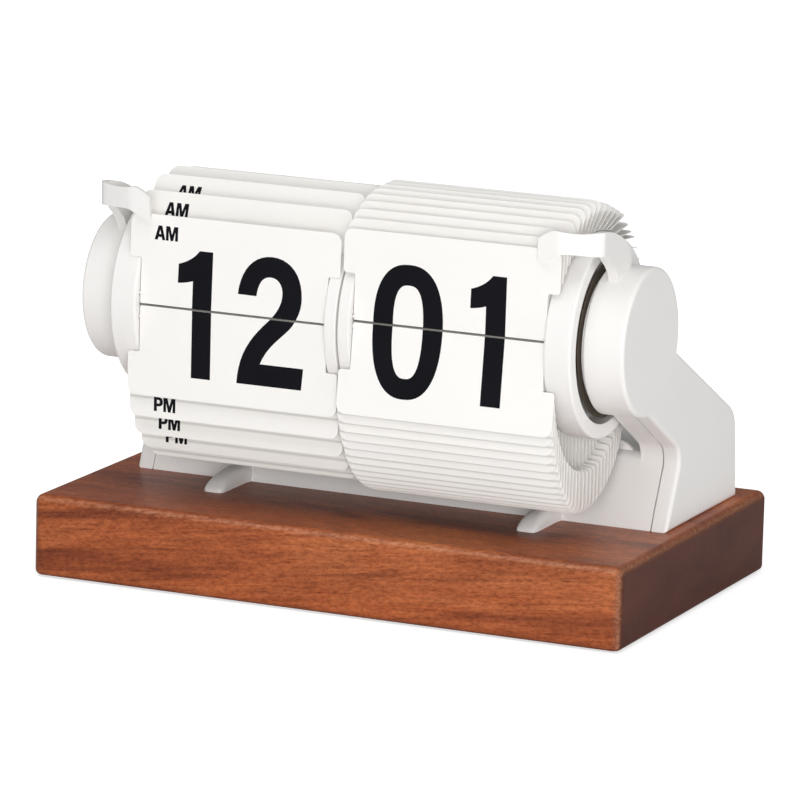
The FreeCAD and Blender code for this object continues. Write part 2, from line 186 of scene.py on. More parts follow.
def wholeTurn(count):
    # cosine and sine at even steps round a circle
    turns = [2 * math.pi * k / count for k in range(count)]
    return [(math.cos(t), math.sin(t)) for t in turns]


def roundedOutline(corners, stepDegrees):
    # (a, b) or (a, b, radius) corners, as a closed list of points with arcs in the rounded corners
    count = len(corners)
    points = []
    for i in range(count):
        here = Vector(corners[i][:2])
        radius = corners[i][2] if len(corners[i]) > 2 else 0
        if radius <= 0:
            points.append(here)
            continue
        toBefore = (Vector(corners[i - 1][:2]) - here).normalized()
        toAfter = (Vector(corners[(i + 1) % count][:2]) - here).normalized()
        half = toBefore.angle(toAfter) / 2
        centre = here + (toBefore + toAfter).normalized() * (radius / math.sin(half))
        start = here + toBefore * (radius / math.tan(half)) - centre
        end = here + toAfter * (radius / math.tan(half)) - centre
        sweep = start.angle_signed(end)
        steps = max(3, int(abs(math.degrees(sweep)) / stepDegrees))
        for k in range(steps + 1):
            turn = -sweep * k / steps
            points.append(centre + Vector((start.x * math.cos(turn) - start.y * math.sin(turn),
                                           start.x * math.sin(turn) + start.y * math.cos(turn))))
    return points


def offsetOutline(points, inward):
    # moves a closed outline inwards by a distance, corners mitred
    area = sum(p.x * q.y - q.x * p.y for p, q in zip(points, points[1:] + points[:1]))
    sign = 1 if area > 0 else -1
    moved = []
    for i, here in enumerate(points):
        first = (here - points[i - 1]).normalized()
        second = (points[(i + 1) % len(points)] - here).normalized()
        normalA = Vector((-first.y, first.x)) * sign
        normalB = Vector((-second.y, second.x)) * sign
        mean = normalA + normalB
        if mean.length < 1e-6:
            mean = normalA
        mean.normalize()
        # a very sharp corner moves by no more than three times the distance
        moved.append(here + mean * (inward / max(0.35, mean.dot(normalA))))
    return moved


def smoothRun(values, between):
    # a smooth curve through the given points, with a few more between each two
    run = []
    for i in range(len(values) - 1):
        near = [values[max(i - 1, 0)], values[i], values[i + 1], values[min(i + 2, len(values) - 1)]]
        for k in range(between):
            t = k / between
            run.append([0.5 * (2 * b + (c - a) * t + (2 * a - 5 * b + 4 * c - d) * t * t
                               + (3 * b - a - 3 * c + d) * t ** 3) for a, b, c, d in zip(*near)])
    run.append(list(values[-1]))
    return run


def skin(loops, capped=True):
    # points and faces of a skin over loops of equal length, with or without end faces
    count = len(loops[0])
    points = [p for loop in loops for p in loop]
    faces = []
    for r in range(len(loops) - 1):
        for i in range(count):
            j = (i + 1) % count
            faces.append((r * count + i, r * count + j, (r + 1) * count + j, (r + 1) * count + i))
    if capped:
        faces.append(tuple(reversed(range(count))))
        faces.append(tuple((len(loops) - 1) * count + i for i in range(count)))
    return points, faces


def joined(parts):
    # several sets of points and faces as one
    points, faces = [], []
    for morePoints, moreFaces in parts:
        faces += [tuple(i + len(points) for i in face) for face in moreFaces]
        points += morePoints
    return points, faces


def newMaterial(name):
    mat = bpy.data.materials.new(name)
    mat.use_nodes = True
    tree = mat.node_tree
    shader = tree.nodes["Principled BSDF"]
    coords = tree.nodes.new("ShaderNodeTexCoord").outputs["Object"]
    return mat, tree, shader, coords


def noiseNode(tree, coords, scale, detail, roughness=0.5, stretch=(1, 1, 1), distortion=0):
    mapping = tree.nodes.new("ShaderNodeMapping")
    mapping.inputs["Scale"].default_value = stretch
    tree.links.new(coords, mapping.inputs["Vector"])
    noise = tree.nodes.new("ShaderNodeTexNoise")
    noise.inputs["Scale"].default_value = scale
    noise.inputs["Detail"].default_value = detail
    noise.inputs["Roughness"].default_value = roughness
    noise.inputs["Distortion"].default_value = distortion
    tree.links.new(mapping.outputs["Vector"], noise.inputs["Vector"])
    return noise.outputs["Fac"]


def rampNode(tree, source, *stops):
    ramp = tree.nodes.new("ShaderNodeValToRGB")
    elements = ramp.color_ramp.elements
    while len(elements) < len(stops):
        elements.new(0.5)
    for element, (position, colour) in zip(elements, stops):
        element.position = position
        element.color = (*colour, 1)
    tree.links.new(source, ramp.inputs["Fac"])
    return ramp.outputs["Color"]


def feed(tree, socket, value):
    # a number or a colour is written into a socket, and anything else is linked to it
    if isinstance(value, (int, float)):
        socket.default_value = value
    elif isinstance(value, tuple):
        socket.default_value = (*value, 1)
    else:
        tree.links.new(value, socket)


def mixNode(tree, factor, a, b, blend="MIX"):
    mix = tree.nodes.new("ShaderNodeMix")
    mix.data_type = "RGBA"
    mix.blend_type = blend
    for i, value in ((0, factor), (6, a), (7, b)):
        feed(tree, mix.inputs[i], value)
    return mix.outputs[2]


def mathNode(tree, operation, *values):
    node = tree.nodes.new("ShaderNodeMath")
    node.operation = operation
    for socket, value in zip(node.inputs, values):
        feed(tree, socket, value)
    return node.outputs[0]


def attributeNode(tree, name):
    node = tree.nodes.new("ShaderNodeAttribute")
    node.attribute_name = name
    return node.outputs["Fac"]


def bumpNode(tree, shader, height, strength, distance):
    bump = tree.nodes.new("ShaderNodeBump")
    bump.inputs["Strength"].default_value = strength
    bump.inputs["Distance"].default_value = distance
    tree.links.new(height, bump.inputs["Height"])
    tree.links.new(bump.outputs["Normal"], shader.inputs["Normal"])


def paintedShadeBand(tree, look):
    # painted shade: 1 right under the edge of the leaf in front, 0 a little way off on either side
    strip, fromTip = attributeNode(tree, "strip"), attributeNode(tree, "fromTip")
    away = mathNode(tree, "ABSOLUTE", mathNode(tree, "SUBTRACT", strip, fromTip))
    reach = mathNode(tree, "MULTIPLY", strip, look["paintedShadeShare"])
    reach = mathNode(tree, "MINIMUM", reach, look["paintedShadeReach"])
    under = mathNode(tree, "SUBTRACT", 1.0, mathNode(tree, "DIVIDE", away, reach))
    return mathNode(tree, "MINIMUM", 1.0, mathNode(tree, "MAXIMUM", 0.0, under))


moulding = {
    "ior": 1.46,
    "specular": 0.4,
    "cloudDetail": 2,
    "grainDetail": 4,
    "grainRoughness": 0.6,
    "bumpDepth": 0.00005,
}
drawing = {
    "detail": 3,
    "grainRoughness": 0.6,
    "roughSpread": 0.2,
    "bump": 0.25,
    "bumpDepth": 0.00003,
}


def mouldedPlastic(name, look):
    mat, tree, shader, coords = newMaterial(name)
    cloud = noiseNode(tree, coords, look["cloudScale"], moulding["cloudDetail"])
    colour = rampNode(tree, cloud, (0.3, look["shade"]), (0.7, look["colour"]))
    if "toneColour" in look:
        colour = mixNode(tree, attributeNode(tree, "leafTone"), colour, look["toneColour"])
    # painted shade under the edge of the leaf in front, for the looks that have it
    if "paintedShadeColour" in look:
        colour = mixNode(tree, paintedShadeBand(tree, look), colour, look["paintedShadeColour"])
    tree.links.new(colour, shader.inputs["Base Color"])
    grain = noiseNode(tree, coords, look["grainScale"], moulding["grainDetail"], moulding["grainRoughness"])
    spread = look["roughSpread"]
    rough = mathNode(tree, "MULTIPLY_ADD", grain, spread, look["roughness"] - spread / 2)
    tree.links.new(rough, shader.inputs["Roughness"])
    bumpNode(tree, shader, grain, look["grainDepth"], moulding["bumpDepth"])
    shader.inputs["IOR"].default_value = moulding["ior"]
    shader.inputs["Specular IOR Level"].default_value = look.get("specular", moulding["specular"])
    return mat


def drawnMetal(name, look):
    mat, tree, shader, coords = newMaterial(name)
    spread = drawing["roughSpread"]
    lines = noiseNode(tree, coords, look["lineScale"], drawing["detail"], drawing["grainRoughness"],
                      look["stretch"])
    colour = rampNode(tree, lines, (0.35, look["dark"]), (0.65, look["colour"]))
    tree.links.new(colour, shader.inputs["Base Color"])
    shader.inputs["Metallic"].default_value = 1
    rough = mathNode(tree, "MULTIPLY_ADD", lines, spread, look["roughness"] - spread / 2)
    tree.links.new(rough, shader.inputs["Roughness"])
    bumpNode(tree, shader, lines, drawing["bump"], drawing["bumpDepth"])
    return mat


plasticLook = {
    "whitePlastic": {"colour": (0.915, 0.898, 0.878), "shade": (0.900, 0.882, 0.860), "cloudScale": 22,
                     "grainScale": 2600, "grainDepth": 0.12, "roughness": 0.42, "roughSpread": 0.14},
    "leafPlastic": {"colour": (0.950, 0.934, 0.908), "shade": (0.940, 0.922, 0.892), "cloudScale": 30,
                    "grainScale": 1800, "grainDepth": 0.08, "roughness": 0.5, "roughSpread": 0.16,
                    "toneColour": (0.935, 0.915, 0.880)},
    "printInk": {"colour": (0.0075, 0.0072, 0.0105), "shade": (0.0060, 0.0060, 0.0085), "cloudScale": 60,
                 "grainScale": 2200, "grainDepth": 0.08, "roughness": 0.6, "roughSpread": 0.12,
                 "specular": 0.08},
    # painted shade for the gap between drum and pod
    "lipRubber": {"colour": (0.085, 0.066, 0.048), "shade": (0.070, 0.054, 0.039), "cloudScale": 120,
                  "grainScale": 1500, "grainDepth": 0.3, "roughness": 0.85, "roughSpread": 0.1},
    # painted shade for the line between the two shown leaves
    "hingeGrey": {"colour": (0.20, 0.188, 0.172), "shade": (0.17, 0.16, 0.148), "cloudScale": 60,
                  "grainScale": 2200, "grainDepth": 0.08, "roughness": 0.5, "roughSpread": 0.12},
    "padRubber": {"colour": (0.035, 0.035, 0.037), "shade": (0.022, 0.022, 0.024), "cloudScale": 300,
                  "grainScale": 3000, "grainDepth": 0.5, "roughness": 0.85, "roughSpread": 0.15},
    "gearPlastic": {"colour": (0.80, 0.79, 0.74), "shade": (0.74, 0.73, 0.68), "cloudScale": 80,
                    "grainScale": 2600, "grainDepth": 0.1, "roughness": 0.38, "roughSpread": 0.12},
    "motorCase": {"colour": (0.10, 0.10, 0.105), "shade": (0.07, 0.07, 0.075), "cloudScale": 120,
                  "grainScale": 2400, "grainDepth": 0.25, "roughness": 0.5, "roughSpread": 0.2},
    "batterySkin": {"colour": (0.045, 0.085, 0.15), "shade": (0.03, 0.06, 0.11), "cloudScale": 90,
                    "grainScale": 2000, "grainDepth": 0.06, "roughness": 0.3, "roughSpread": 0.1},
}
# the hanging leaves get a painted shade in a narrow band under the edge of the leaf in front
plasticLook["hangingPlastic"] = {**plasticLook["leafPlastic"], "paintedShadeColour": (0.66, 0.64, 0.61),
                                 "paintedShadeShare": 0.38, "paintedShadeReach": 0.65}
metalLook = {
    "shaftSteel": {"colour": (0.62, 0.62, 0.63), "dark": (0.48, 0.48, 0.49), "lineScale": 900,
                   "stretch": (0.05, 1, 1), "roughness": 0.32},
    "pinionBrass": {"colour": (0.78, 0.58, 0.28), "dark": (0.62, 0.44, 0.19), "lineScale": 1500,
                    "stretch": (0.2, 1, 1), "roughness": 0.34},
    "contactMetal": {"colour": (0.66, 0.64, 0.60), "dark": (0.52, 0.50, 0.47), "lineScale": 1200,
                     "stretch": (1, 0.15, 1), "roughness": 0.36},
}
finishes = {name: mouldedPlastic(name, look) for name, look in plasticLook.items()}
finishes.update({name: drawnMetal(name, look) for name, look in metalLook.items()})
print("finishes mixed")


# the wooden block
wood = {
    "width": 200.0,
    "depth": 125.0,
    "height": 26.2,
    "edgeRound": 2.8,
    "roundSteps": 6,
    "roundShare": 0.999,
    "lowRound": 1.8,
    "lowSteps": 4,
    "holes": [(-66, 8), (66, 8), (-66, 34), (66, 34)],
    "sinkRadius": 4.3,
    "sinkDepth": 6.0,
    "shankRadius": 2.15,
    "holePoints": 28,
    "tilt": 6.5,
    "face": (0.410, 0.104, 0.031),
    "faceDark": (0.245, 0.055, 0.017),
    "faceLight": (0.545, 0.178, 0.060),
    "end": (0.100, 0.027, 0.015),
    "endDark": (0.064, 0.017, 0.010),
    "endFull": 1.15,
    "endReach": 0.75,
    # the pale colour of the painted highlight and rubbed wear on the rounded edges, and how strong it is
    "wornAndHighlit": (0.640, 0.330, 0.200),
    "wearAndHighlight": 0.9,
    # the colour of the painted shade along the lower rounded edge
    "footShadeColour": (0.030, 0.012, 0.008),
    "roughness": 0.36,
    "roughSpread": 0.16,
    "specular": 0.03,
    "coat": 0.45,
    "endCoat": 0.2,
    "coatRoughness": 0.3,
    "relief": 0.22,
    "reliefDepth": 0.00012,
    "poreRelief": 0.5,
    "figureShare": 0.5,
    # noise settings of the broad bands, the finer figure and the rings of the end grain
    "bands": (34, 4, 0.55, (0.2, 0.6, 1.0), 0.9),
    "figure": (130, 5, 0.62, (0.12, 0.7, 1.0), 1.2),
    "rings": (60, 5, 0.6, (1, 0.35, 1.1), 0.6),
}
# laid over the figure in turn: noise settings, how strong it is, and its dark and light tints
grainLayers = {
    "streaks": {"noise": (95, 3, 0.55, (0.08, 0.6, 1.4), 0.7), "share": 0.85,
                "tints": [(0.36, (0.50, 0.42, 0.46)), (0.51, (1.0, 1.0, 1.0))]},
    "fibres": {"noise": (900, 3, 0.65, (0.06, 1, 1)), "share": 0.8,
               "tints": [(0.34, (0.72, 0.66, 0.62)), (0.62, (1.06, 1.06, 1.06))]},
    "speckle": {"noise": (1150, 4, 0.7, (0.4, 1, 1), 0.4), "share": 0.8,
                "tints": [(0.36, (0.62, 0.55, 0.50)), (0.50, (1.0, 1.0, 1.0)), (0.64, (1.28, 1.34, 1.40))]},
    "pores": {"noise": (1500, 2, 0.5, (0.09, 1, 1)), "share": 0.6,
              "tints": [(0.28, (0.50, 0.40, 0.36)), (0.38, (1.0, 1.0, 1.0))]},
}


def oiledWood():
    mat, tree, shader, coords = newMaterial("oiledWood")
    # the figure runs a few degrees off the edges of the block
    tilted = tree.nodes.new("ShaderNodeMapping")
    tilted.inputs["Rotation"].default_value = (0, math.radians(wood["tilt"]), 0)
    tree.links.new(coords, tilted.inputs["Vector"])
    run = tilted.outputs["Vector"]
    bands = noiseNode(tree, run, *wood["bands"])
    figure = noiseNode(tree, run, *wood["figure"])
    broad = rampNode(tree, bands, (0.30, wood["faceDark"]), (0.50, wood["face"]), (0.70, wood["faceLight"]))
    fine = rampNode(tree, figure, (0.30, wood["faceDark"]), (0.52, wood["face"]), (0.72, wood["faceLight"]))
    colour = mixNode(tree, wood["figureShare"], broad, fine)
    noises = {}
    for name, layer in grainLayers.items():
        noises[name] = noiseNode(tree, run, *layer["noise"])
        tint = rampNode(tree, noises[name], *layer["tints"])
        colour = mixNode(tree, layer["share"], colour, tint, "MULTIPLY")
    rings = noiseNode(tree, coords, *wood["rings"])
    across = rampNode(tree, rings, (0.32, wood["endDark"]), (0.68, wood["end"]))
    endGrain = attributeNode(tree, "endGrain")
    colour = mixNode(tree, endGrain, colour, across)
    # the rounded edges are painted paler in broken spots, as a painted highlight with rubbed wear, and the
    # lower edge is darkened as painted shade
    rubbedAndHighlit = mathNode(tree, "MULTIPLY", attributeNode(tree, "edgeWear"), noises["speckle"])
    rubbedAndHighlit = mathNode(tree, "MULTIPLY", rubbedAndHighlit, wood["wearAndHighlight"])
    pale = rampNode(tree, noises["speckle"], (0.3, wood["face"]), (0.6, wood["wornAndHighlit"]))
    colour = mixNode(tree, rubbedAndHighlit, colour, pale)
    colour = mixNode(tree, attributeNode(tree, "footShade"), colour, wood["footShadeColour"])
    rough = mathNode(tree, "MULTIPLY_ADD", noises["fibres"], wood["roughSpread"], wood["roughness"])
    coat = mathNode(tree, "MULTIPLY_ADD", endGrain, wood["endCoat"] - wood["coat"], wood["coat"])
    for socket, source in (("Base Color", colour), ("Roughness", rough), ("Coat Weight", coat)):
        tree.links.new(source, shader.inputs[socket])
    shader.inputs["Specular IOR Level"].default_value = wood["specular"]
    shader.inputs["Coat Roughness"].default_value = wood["coatRoughness"]
    relief = mathNode(tree, "MULTIPLY_ADD", noises["pores"], wood["poreRelief"], noises["fibres"])
    bumpNode(tree, shader, relief, wood["relief"], wood["reliefDepth"])
    return mat


def faceWithHoles(outer, holes, z, up):
    # flat face at height z, as points and triangles
    loops = [[Vector((x, y, 0)) for x, y, _ in loop] for loop in [outer] + holes]
    faces = [tuple(t) if up else tuple(reversed(t)) for t in tessellate_polygon(loops)]
    return [(p.x, p.y, z) for loop in loops for p in loop], faces


def makeWoodenBase():
    middle = -clock["shiftX"]
    w, d, h, r = wood["width"] / 2, wood["depth"] / 2, wood["height"], wood["edgeRound"]
    low = wood["lowRound"]
    left, right = middle - w, middle + w
    outline = roundedOutline([(left, -d, r), (right, -d, r), (right, d, r), (left, d, r)], stepDegrees=12)
    levels = [(low * (1 - c), low * (1 - s)) for c, s in reversed(quarterTurn(wood["lowSteps"]))]
    levels += [(0, h - r)]
    # the topmost level keeps a trace of a rounded corner, so the corners close to a ball
    top = quarterTurn(wood["roundSteps"], 1)
    levels += [(r * (1 - c) * wood["roundShare"], h - r + r * s) for c, s in top]
    loops = [[(p.x, p.y, z) for p in offsetOutline(outline, inset)] for inset, z in levels]

    # each screw hole: (radius, height) from the sink at the foot to the top
    steps = ((wood["sinkRadius"], 0.0), (wood["sinkRadius"], wood["sinkDepth"]),
             (wood["shankRadius"], wood["sinkDepth"]), (wood["shankRadius"], h))

    def hole(centre, radius, z):
        turns = wholeTurn(wood["holePoints"])
        return [(centre[0] + radius * c, centre[1] + radius * s, z) for c, s in turns]

    parts = [skin(loops, False)]
    for outer, (radius, z), up in ((loops[0], steps[0], False), (loops[-1], steps[-1], True)):
        parts.append(faceWithHoles(outer, [hole(spot, radius, z) for spot in wood["holes"]], z, up))
    parts += [skin([hole(spot, radius, z) for radius, z in steps], False) for spot in wood["holes"]]
    obj = evenShading(newPiece("woodenBase", *joined(parts), smoothAngle=35))

    def edgeWear(x, y, z):
        # 1 in the middle of a rounded edge, 0 where it ends, for the painted highlight and wear; z is from
        # the table, so they sit a bit low
        nearest, second, _ = sorted((w - abs(x), d - abs(y), h - z))
        return (1 - (second - nearest) / r) ** 2 if second < r else 0.0

    paint(obj, "endGrain", lambda x, y, z: limited(wood["endFull"] - (w - abs(x)) / (r * wood["endReach"])))
    paint(obj, "edgeWear", edgeWear)
    # painted shade along the lower rounded edge, strongest at the foot
    paint(obj, "footShade", lambda x, y, z: limited(1 - z / low))
    return finish(obj, "frame", "wood", oiledWood(), "wooden_base")


makeWoodenBase()
print("wooden base made")

# the side covers, each a leg and a round pod in one
cover = {
    "podRadius": 23.3,
    "podInner": 78.6,
    "podSteps": 84,
    "seam": 86.0,
    "seamGap": 0.3,
    "outer": 91.74,
    "edgeRound": 1.3,
    "edgeSteps": 5,
    "wall": 1.8,
    "innerEase": 0.35,
    "innerSteps": 3,
    # (y, height above the wood, radius) of the leg's corners
    "legCorners": [(-20, 63.43), (46.05, 28.3, 10), (48.9, 0), (-11.3, 0), (-8.8, 6.1, 12),
                   (-0.27, 23.6, 6.5), (-36, 44.2)],
}


def crossCircle(inside, outside, centre, radius):
    # where the line from a point inside a circle to one outside crosses it
    step = outside - inside
    a, b, c = step.dot(step), 2 * step.dot(inside - centre), (inside - centre).length_squared - radius ** 2
    return inside + step * ((-b + math.sqrt(b * b - 4 * a * c)) / (2 * a))


def coverOutline():
    # the leg's part of the outline, and the pod's circle in place of its neck
    corners = [(c[0], c[1] + clock["woodTop"], *c[2:]) for c in cover["legCorners"]]
    leg = roundedOutline(corners, stepDegrees=6)
    centre, radius = Vector((clock["axisY"], clock["axisZ"])), cover["podRadius"]
    inside = [(p - centre).length < radius for p in leg]
    firstOut = next(i for i in range(len(leg)) if not inside[i] and inside[i - 1])
    ordered = leg[firstOut:] + leg[:firstOut]
    legPart = [p for p in ordered if (p - centre).length >= radius]
    low = crossCircle(ordered[len(legPart)], legPart[-1], centre, radius) - centre
    top = crossCircle(ordered[-1], legPart[0], centre, radius) - centre
    start, end = math.atan2(low.y, low.x), math.atan2(top.y, top.x)
    while end > start:
        end -= 2 * math.pi
    turns = [start + (end - start) * k / cover["podSteps"] for k in range(cover["podSteps"] + 1)]
    return legPart, [centre + Vector((math.cos(t), math.sin(t))) * radius for t in turns]


def makeCover(side, hand):
    legPart, arc = coverOutline()
    edge, ease, outer, wall = cover["edgeRound"], cover["innerEase"], cover["outer"], cover["wall"]
    inner, seam = cover["podInner"], cover["seam"] + cover["seamGap"]

    def ring(inset, podX, legX):
        moved = offsetOutline(legPart + arc, inset) if inset > 1e-6 else legPart + arc
        leg, pod = moved[:len(legPart)], moved[len(legPart):]
        # the pod's two ends stand twice, once on the leg and once on the pod, for the step between them
        leg = [pod[-1]] + leg + [pod[0]]
        return [(side * legX, p.x, p.y) for p in leg] + [(side * podX, p.x, p.y) for p in pod]

    loops = []
    for c, s in quarterTurn(cover["edgeSteps"]):
        loops.append(ring(edge * (1 - s), outer - edge * (1 - c), outer - edge * (1 - c)))
    for c, s in quarterTurn(cover["innerSteps"]):
        loops.append(ring(ease * (1 - c), inner + ease * (1 - s), seam + ease * (1 - s)))
    loops += [ring(wall, inner, seam), ring(wall, outer - wall, outer - wall)]
    obj = evenShading(newPiece(hand + "Cover", *skin(loops), smoothAngle=30))
    return finish(obj, "frame", "white_plastic", finishes["whitePlastic"], hand + "_cover")


# the lip that shuts the gap between drum and pod, dark as painted shade in that gap: its section as
# (distance from the middle, radius)
dustLip = {
    "section": [(75.5, 21.32), (75.5, 21.6), (77.1, 21.6), (77.1, 24.6), (77.35, 24.6), (77.35, 21.32)],
    "points": 72,
}


def makeDustLip(side, hand):
    loops = []
    for x, r in dustLip["section"] + dustLip["section"][:1]:
        turns = wholeTurn(dustLip["points"])
        loops.append([(side * x, clock["axisY"] + r * c, clock["axisZ"] + r * s) for c, s in turns])
    obj = newPiece(hand + "DustLip", *skin(loops, False), smoothAngle=40)
    return finish(obj, "frame", "white_plastic", finishes["lipRubber"])


for side, hand in hands:
    makeCover(side, hand)
    makeDustLip(side, hand)
print("side covers made")

# fittings that keep their CAD shape, with eased edges: name, slot, finish, bevel width and segments
eased = {
    "chassis": ("chassisBody", "white_plastic", "whitePlastic", 0.45, 3),
    "drum_shaft": ("drumShaft", "steel", "shaftSteel", 0.3, 2),
    "motor": ("motorCan", "motor_case", "motorCase", 0.4, 3),
    "motor_pinion": ("motorPinion", "pinion_brass", "pinionBrass", 0.08, 1),
    "minute_drive_gear": ("minuteDriveGear", "gear_plastic", "gearPlastic", 0.08, 1),
    "hour_hub": ("hourHub", "white_plastic", "whitePlastic", 0.3, 2),
    "minute_hub": ("minuteHub", "white_plastic", "whitePlastic", 0.3, 2),
    "battery": ("batteryCell", "battery_skin", "batterySkin", 0.5, 3),
    "battery_spring_contact": ("batterySpring", "contact_metal", "contactMetal", 0.12, 2),
    "battery_plate_contact": ("batteryPlate", "contact_metal", "contactMetal", 0.12, 2),
    "battery_door": ("batteryDoor", "white_plastic", "whitePlastic", 0.3, 3),
}
for _, hand in hands:
    eased["shaft_clip_" + hand] = ("shaftClip" + hand.capitalize(), "steel", "shaftSteel", 0.15, 2)
    for end in ("front", "back"):
        node, name = hand + "_" + end, hand.capitalize() + end.capitalize()
        eased["base_pad_" + node] = ("pad" + name, "pad_rubber", "padRubber", 0.2, 2)
        eased["base_screw_" + node] = ("screw" + name, "steel", "shaftSteel", 0.25, 2)

# the tongues under the drums, each a little off the CAD one's place
tongue = {
    "spans": {"left": (-58.5, -51.5), "right": (49.1, 56.0)},
    # (y, height above the wood) along the tongue
    "heights": [(-32.0, 0.0), (-31.9, 0.5), (-31.5, 1.2), (-30.7, 1.9), (-29.4, 2.75), (-27.6, 3.6),
                (-25.4, 4.3), (-22.5, 4.9), (-19.0, 5.35), (-15.0, 5.65), (-11.0, 5.85), (-7.0, 6.0)],
    "between": 3,
    "tipFrom": -26.0,
    "tipPower": 5.0,
    "tipShare": 0.55,
    "shoulderPower": 3.2,
    "across": 18,
    "weldFrom": -15.0,
    "weldLength": 7.0,
    "weld": 1.6,
    "lift": 0.02,
    "leastHeight": 0.05,
}
# the CAD tongues, and how far they shrink inside the ones built over them
plainTongue = {
    "span": (49.0, 59.0),
    "root": -7.0,
    "height": 7.0,
    "widthShare": 0.6,
    "slopeFrom": -11.5,
    "lengthShare": 0.9,
    "heightShare": 0.75,
}
# the frame over the battery door comes down onto the rounded back: (y, z) of its corner before and after
doorHood = {
    "corner": (46.285, 47.8),
    "lowered": (45.13, 46.68),
    "cut": 46.2,
    "behind": 43.0,
    "above": 44.5,
    "cutGap": 0.01,
}
sameSpot = 0.02


def slimTongues(bm):
    low, high = plainTongue["span"]
    slope = plainTongue["slopeFrom"]
    for v in bm.verts:
        x, y, z = v.co.x * 1000 - clock["shiftX"], v.co.y * 1000, v.co.z * 1000 - clock["padProud"]
        onSide = min(abs(abs(x) - low), abs(abs(x) - high)) <= sameSpot
        if not onSide or y > plainTongue["root"] or z > clock["woodTop"] + plainTongue["height"]:
            continue
        span = tongue["spans"]["left" if x < 0 else "right"]
        inner, outer = reversed(span) if x < 0 else span
        middle = (inner + outer) / 2
        target = inner if abs(abs(x) - low) < sameSpot else outer
        v.co.x = (middle + (target - middle) * plainTongue["widthShare"] + clock["shiftX"]) / 1000
        if y < slope:
            rise = (z - clock["woodTop"]) * plainTongue["heightShare"]
            v.co.y = (slope + (y - slope) * plainTongue["lengthShare"]) / 1000
            v.co.z = (clock["woodTop"] + rise + clock["padProud"]) / 1000


def lowerHood(bm):
    def isCorner(v):
        return all(abs(v.co[i] * 1000 - at) < sameSpot for i, at in zip((1, 2), doorHood["corner"]))

    def isHood(v):
        return v.co.y * 1000 > doorHood["behind"] and v.co.z * 1000 > doorHood["above"]

    near = [f for f in bm.faces if all(isHood(v) for v in f.verts) and any(isCorner(v) for v in f.verts)]
    parts = set(near)
    for f in near:
        parts.update(f.edges)
        parts.update(f.verts)
    bmesh.ops.bisect_plane(bm, geom=list(parts), dist=doorHood["cutGap"] / 1000,
                           plane_co=(0, 0, doorHood["cut"] / 1000), plane_no=(0, 0, 1))
    for v in bm.verts:
        if isCorner(v):
            v.co.y, v.co.z = (c / 1000 for c in doorHood["lowered"])


def shapeChassis(bm):
    slimTongues(bm)
    lowerHood(bm)


def makeTongue(hand):
    left, right = tongue["spans"][hand]
    half, middle = (right - left) / 2, (left + right) / 2
    tip, power = tongue["heights"][0][0], 2 / tongue["shoulderPower"]
    loops = []
    for y, high in smoothRun(tongue["heights"], tongue["between"]):
        ahead = limited((tongue["tipFrom"] - y) / (tongue["tipFrom"] - tip))
        width = half * (1 - ahead ** tongue["tipPower"]) ** (1 / tongue["tipPower"])
        width = max(width, half * tongue["tipShare"])
        # a weld of plastic widens the root where it meets the chassis
        root = limited((y - tongue["weldFrom"]) / tongue["weldLength"]) ** 2 * tongue["weld"]
        loop = []
        for k in range(tongue["across"] + 1):
            turn = math.pi * k / tongue["across"]
            u, v = -math.cos(turn), math.sin(turn)
            x = middle + math.copysign(abs(u) ** power, u) * (width + root * (1 - v) ** 2)
            z = tongue["lift"] + max(high, tongue["leastHeight"]) * abs(v) ** power
            loop.append((x, y, clock["woodTop"] + z))
        loops.append(loop)
    obj = newPiece(hand + "Tongue", *skin(loops), smoothAngle=60)
    return finish(obj, "frame", "white_plastic", finishes["whitePlastic"], "chassis")


# the chassis rises in a curve beside each leg: (x, height above the wood) of its upper edge
shoulderRise = {
    "edge": [(58.0, 25.2), (66.0, 25.4), (69.5, 25.3), (71.7, 24.7), (73.4, 23.6), (75.1, 21.9),
             (76.5, 19.7), (77.4, 17.0)],
    "between": 4,
    "low": 15.0,
    "front": 0.6,
    "back": 2.8,
    "ease": 0.5,
    "cut": 0.15,
}


def makeRise(side, hand):
    front, back, low, ease, cut = (shoulderRise[k] for k in ("front", "back", "low", "ease", "cut"))
    loops = []
    for x, high in smoothRun(shoulderRise["edge"], shoulderRise["between"]):
        section = ((front, low), (front, high - ease), (front + cut, high - cut), (front + ease, high),
                   (back - ease, high), (back - cut, high - cut), (back, high - ease), (back, low))
        loops.append([(side * x, y, clock["woodTop"] + z) for y, z in section])
    obj = newPiece(hand + "ShoulderRise", *skin(loops), smoothAngle=50)
    return finish(obj, "frame", "white_plastic", finishes["whitePlastic"], "chassis")


for node, (name, slotName, finishName, width, segments) in eased.items():
    piece = softened(node, name, width, segments, shapeChassis if node == "chassis" else None)
    finish(piece, bodyOf[node], slotName, finishes[finishName], node)
for side, hand in hands:
    makeTongue(hand)
    makeRise(side, hand)
print("eased fittings made")

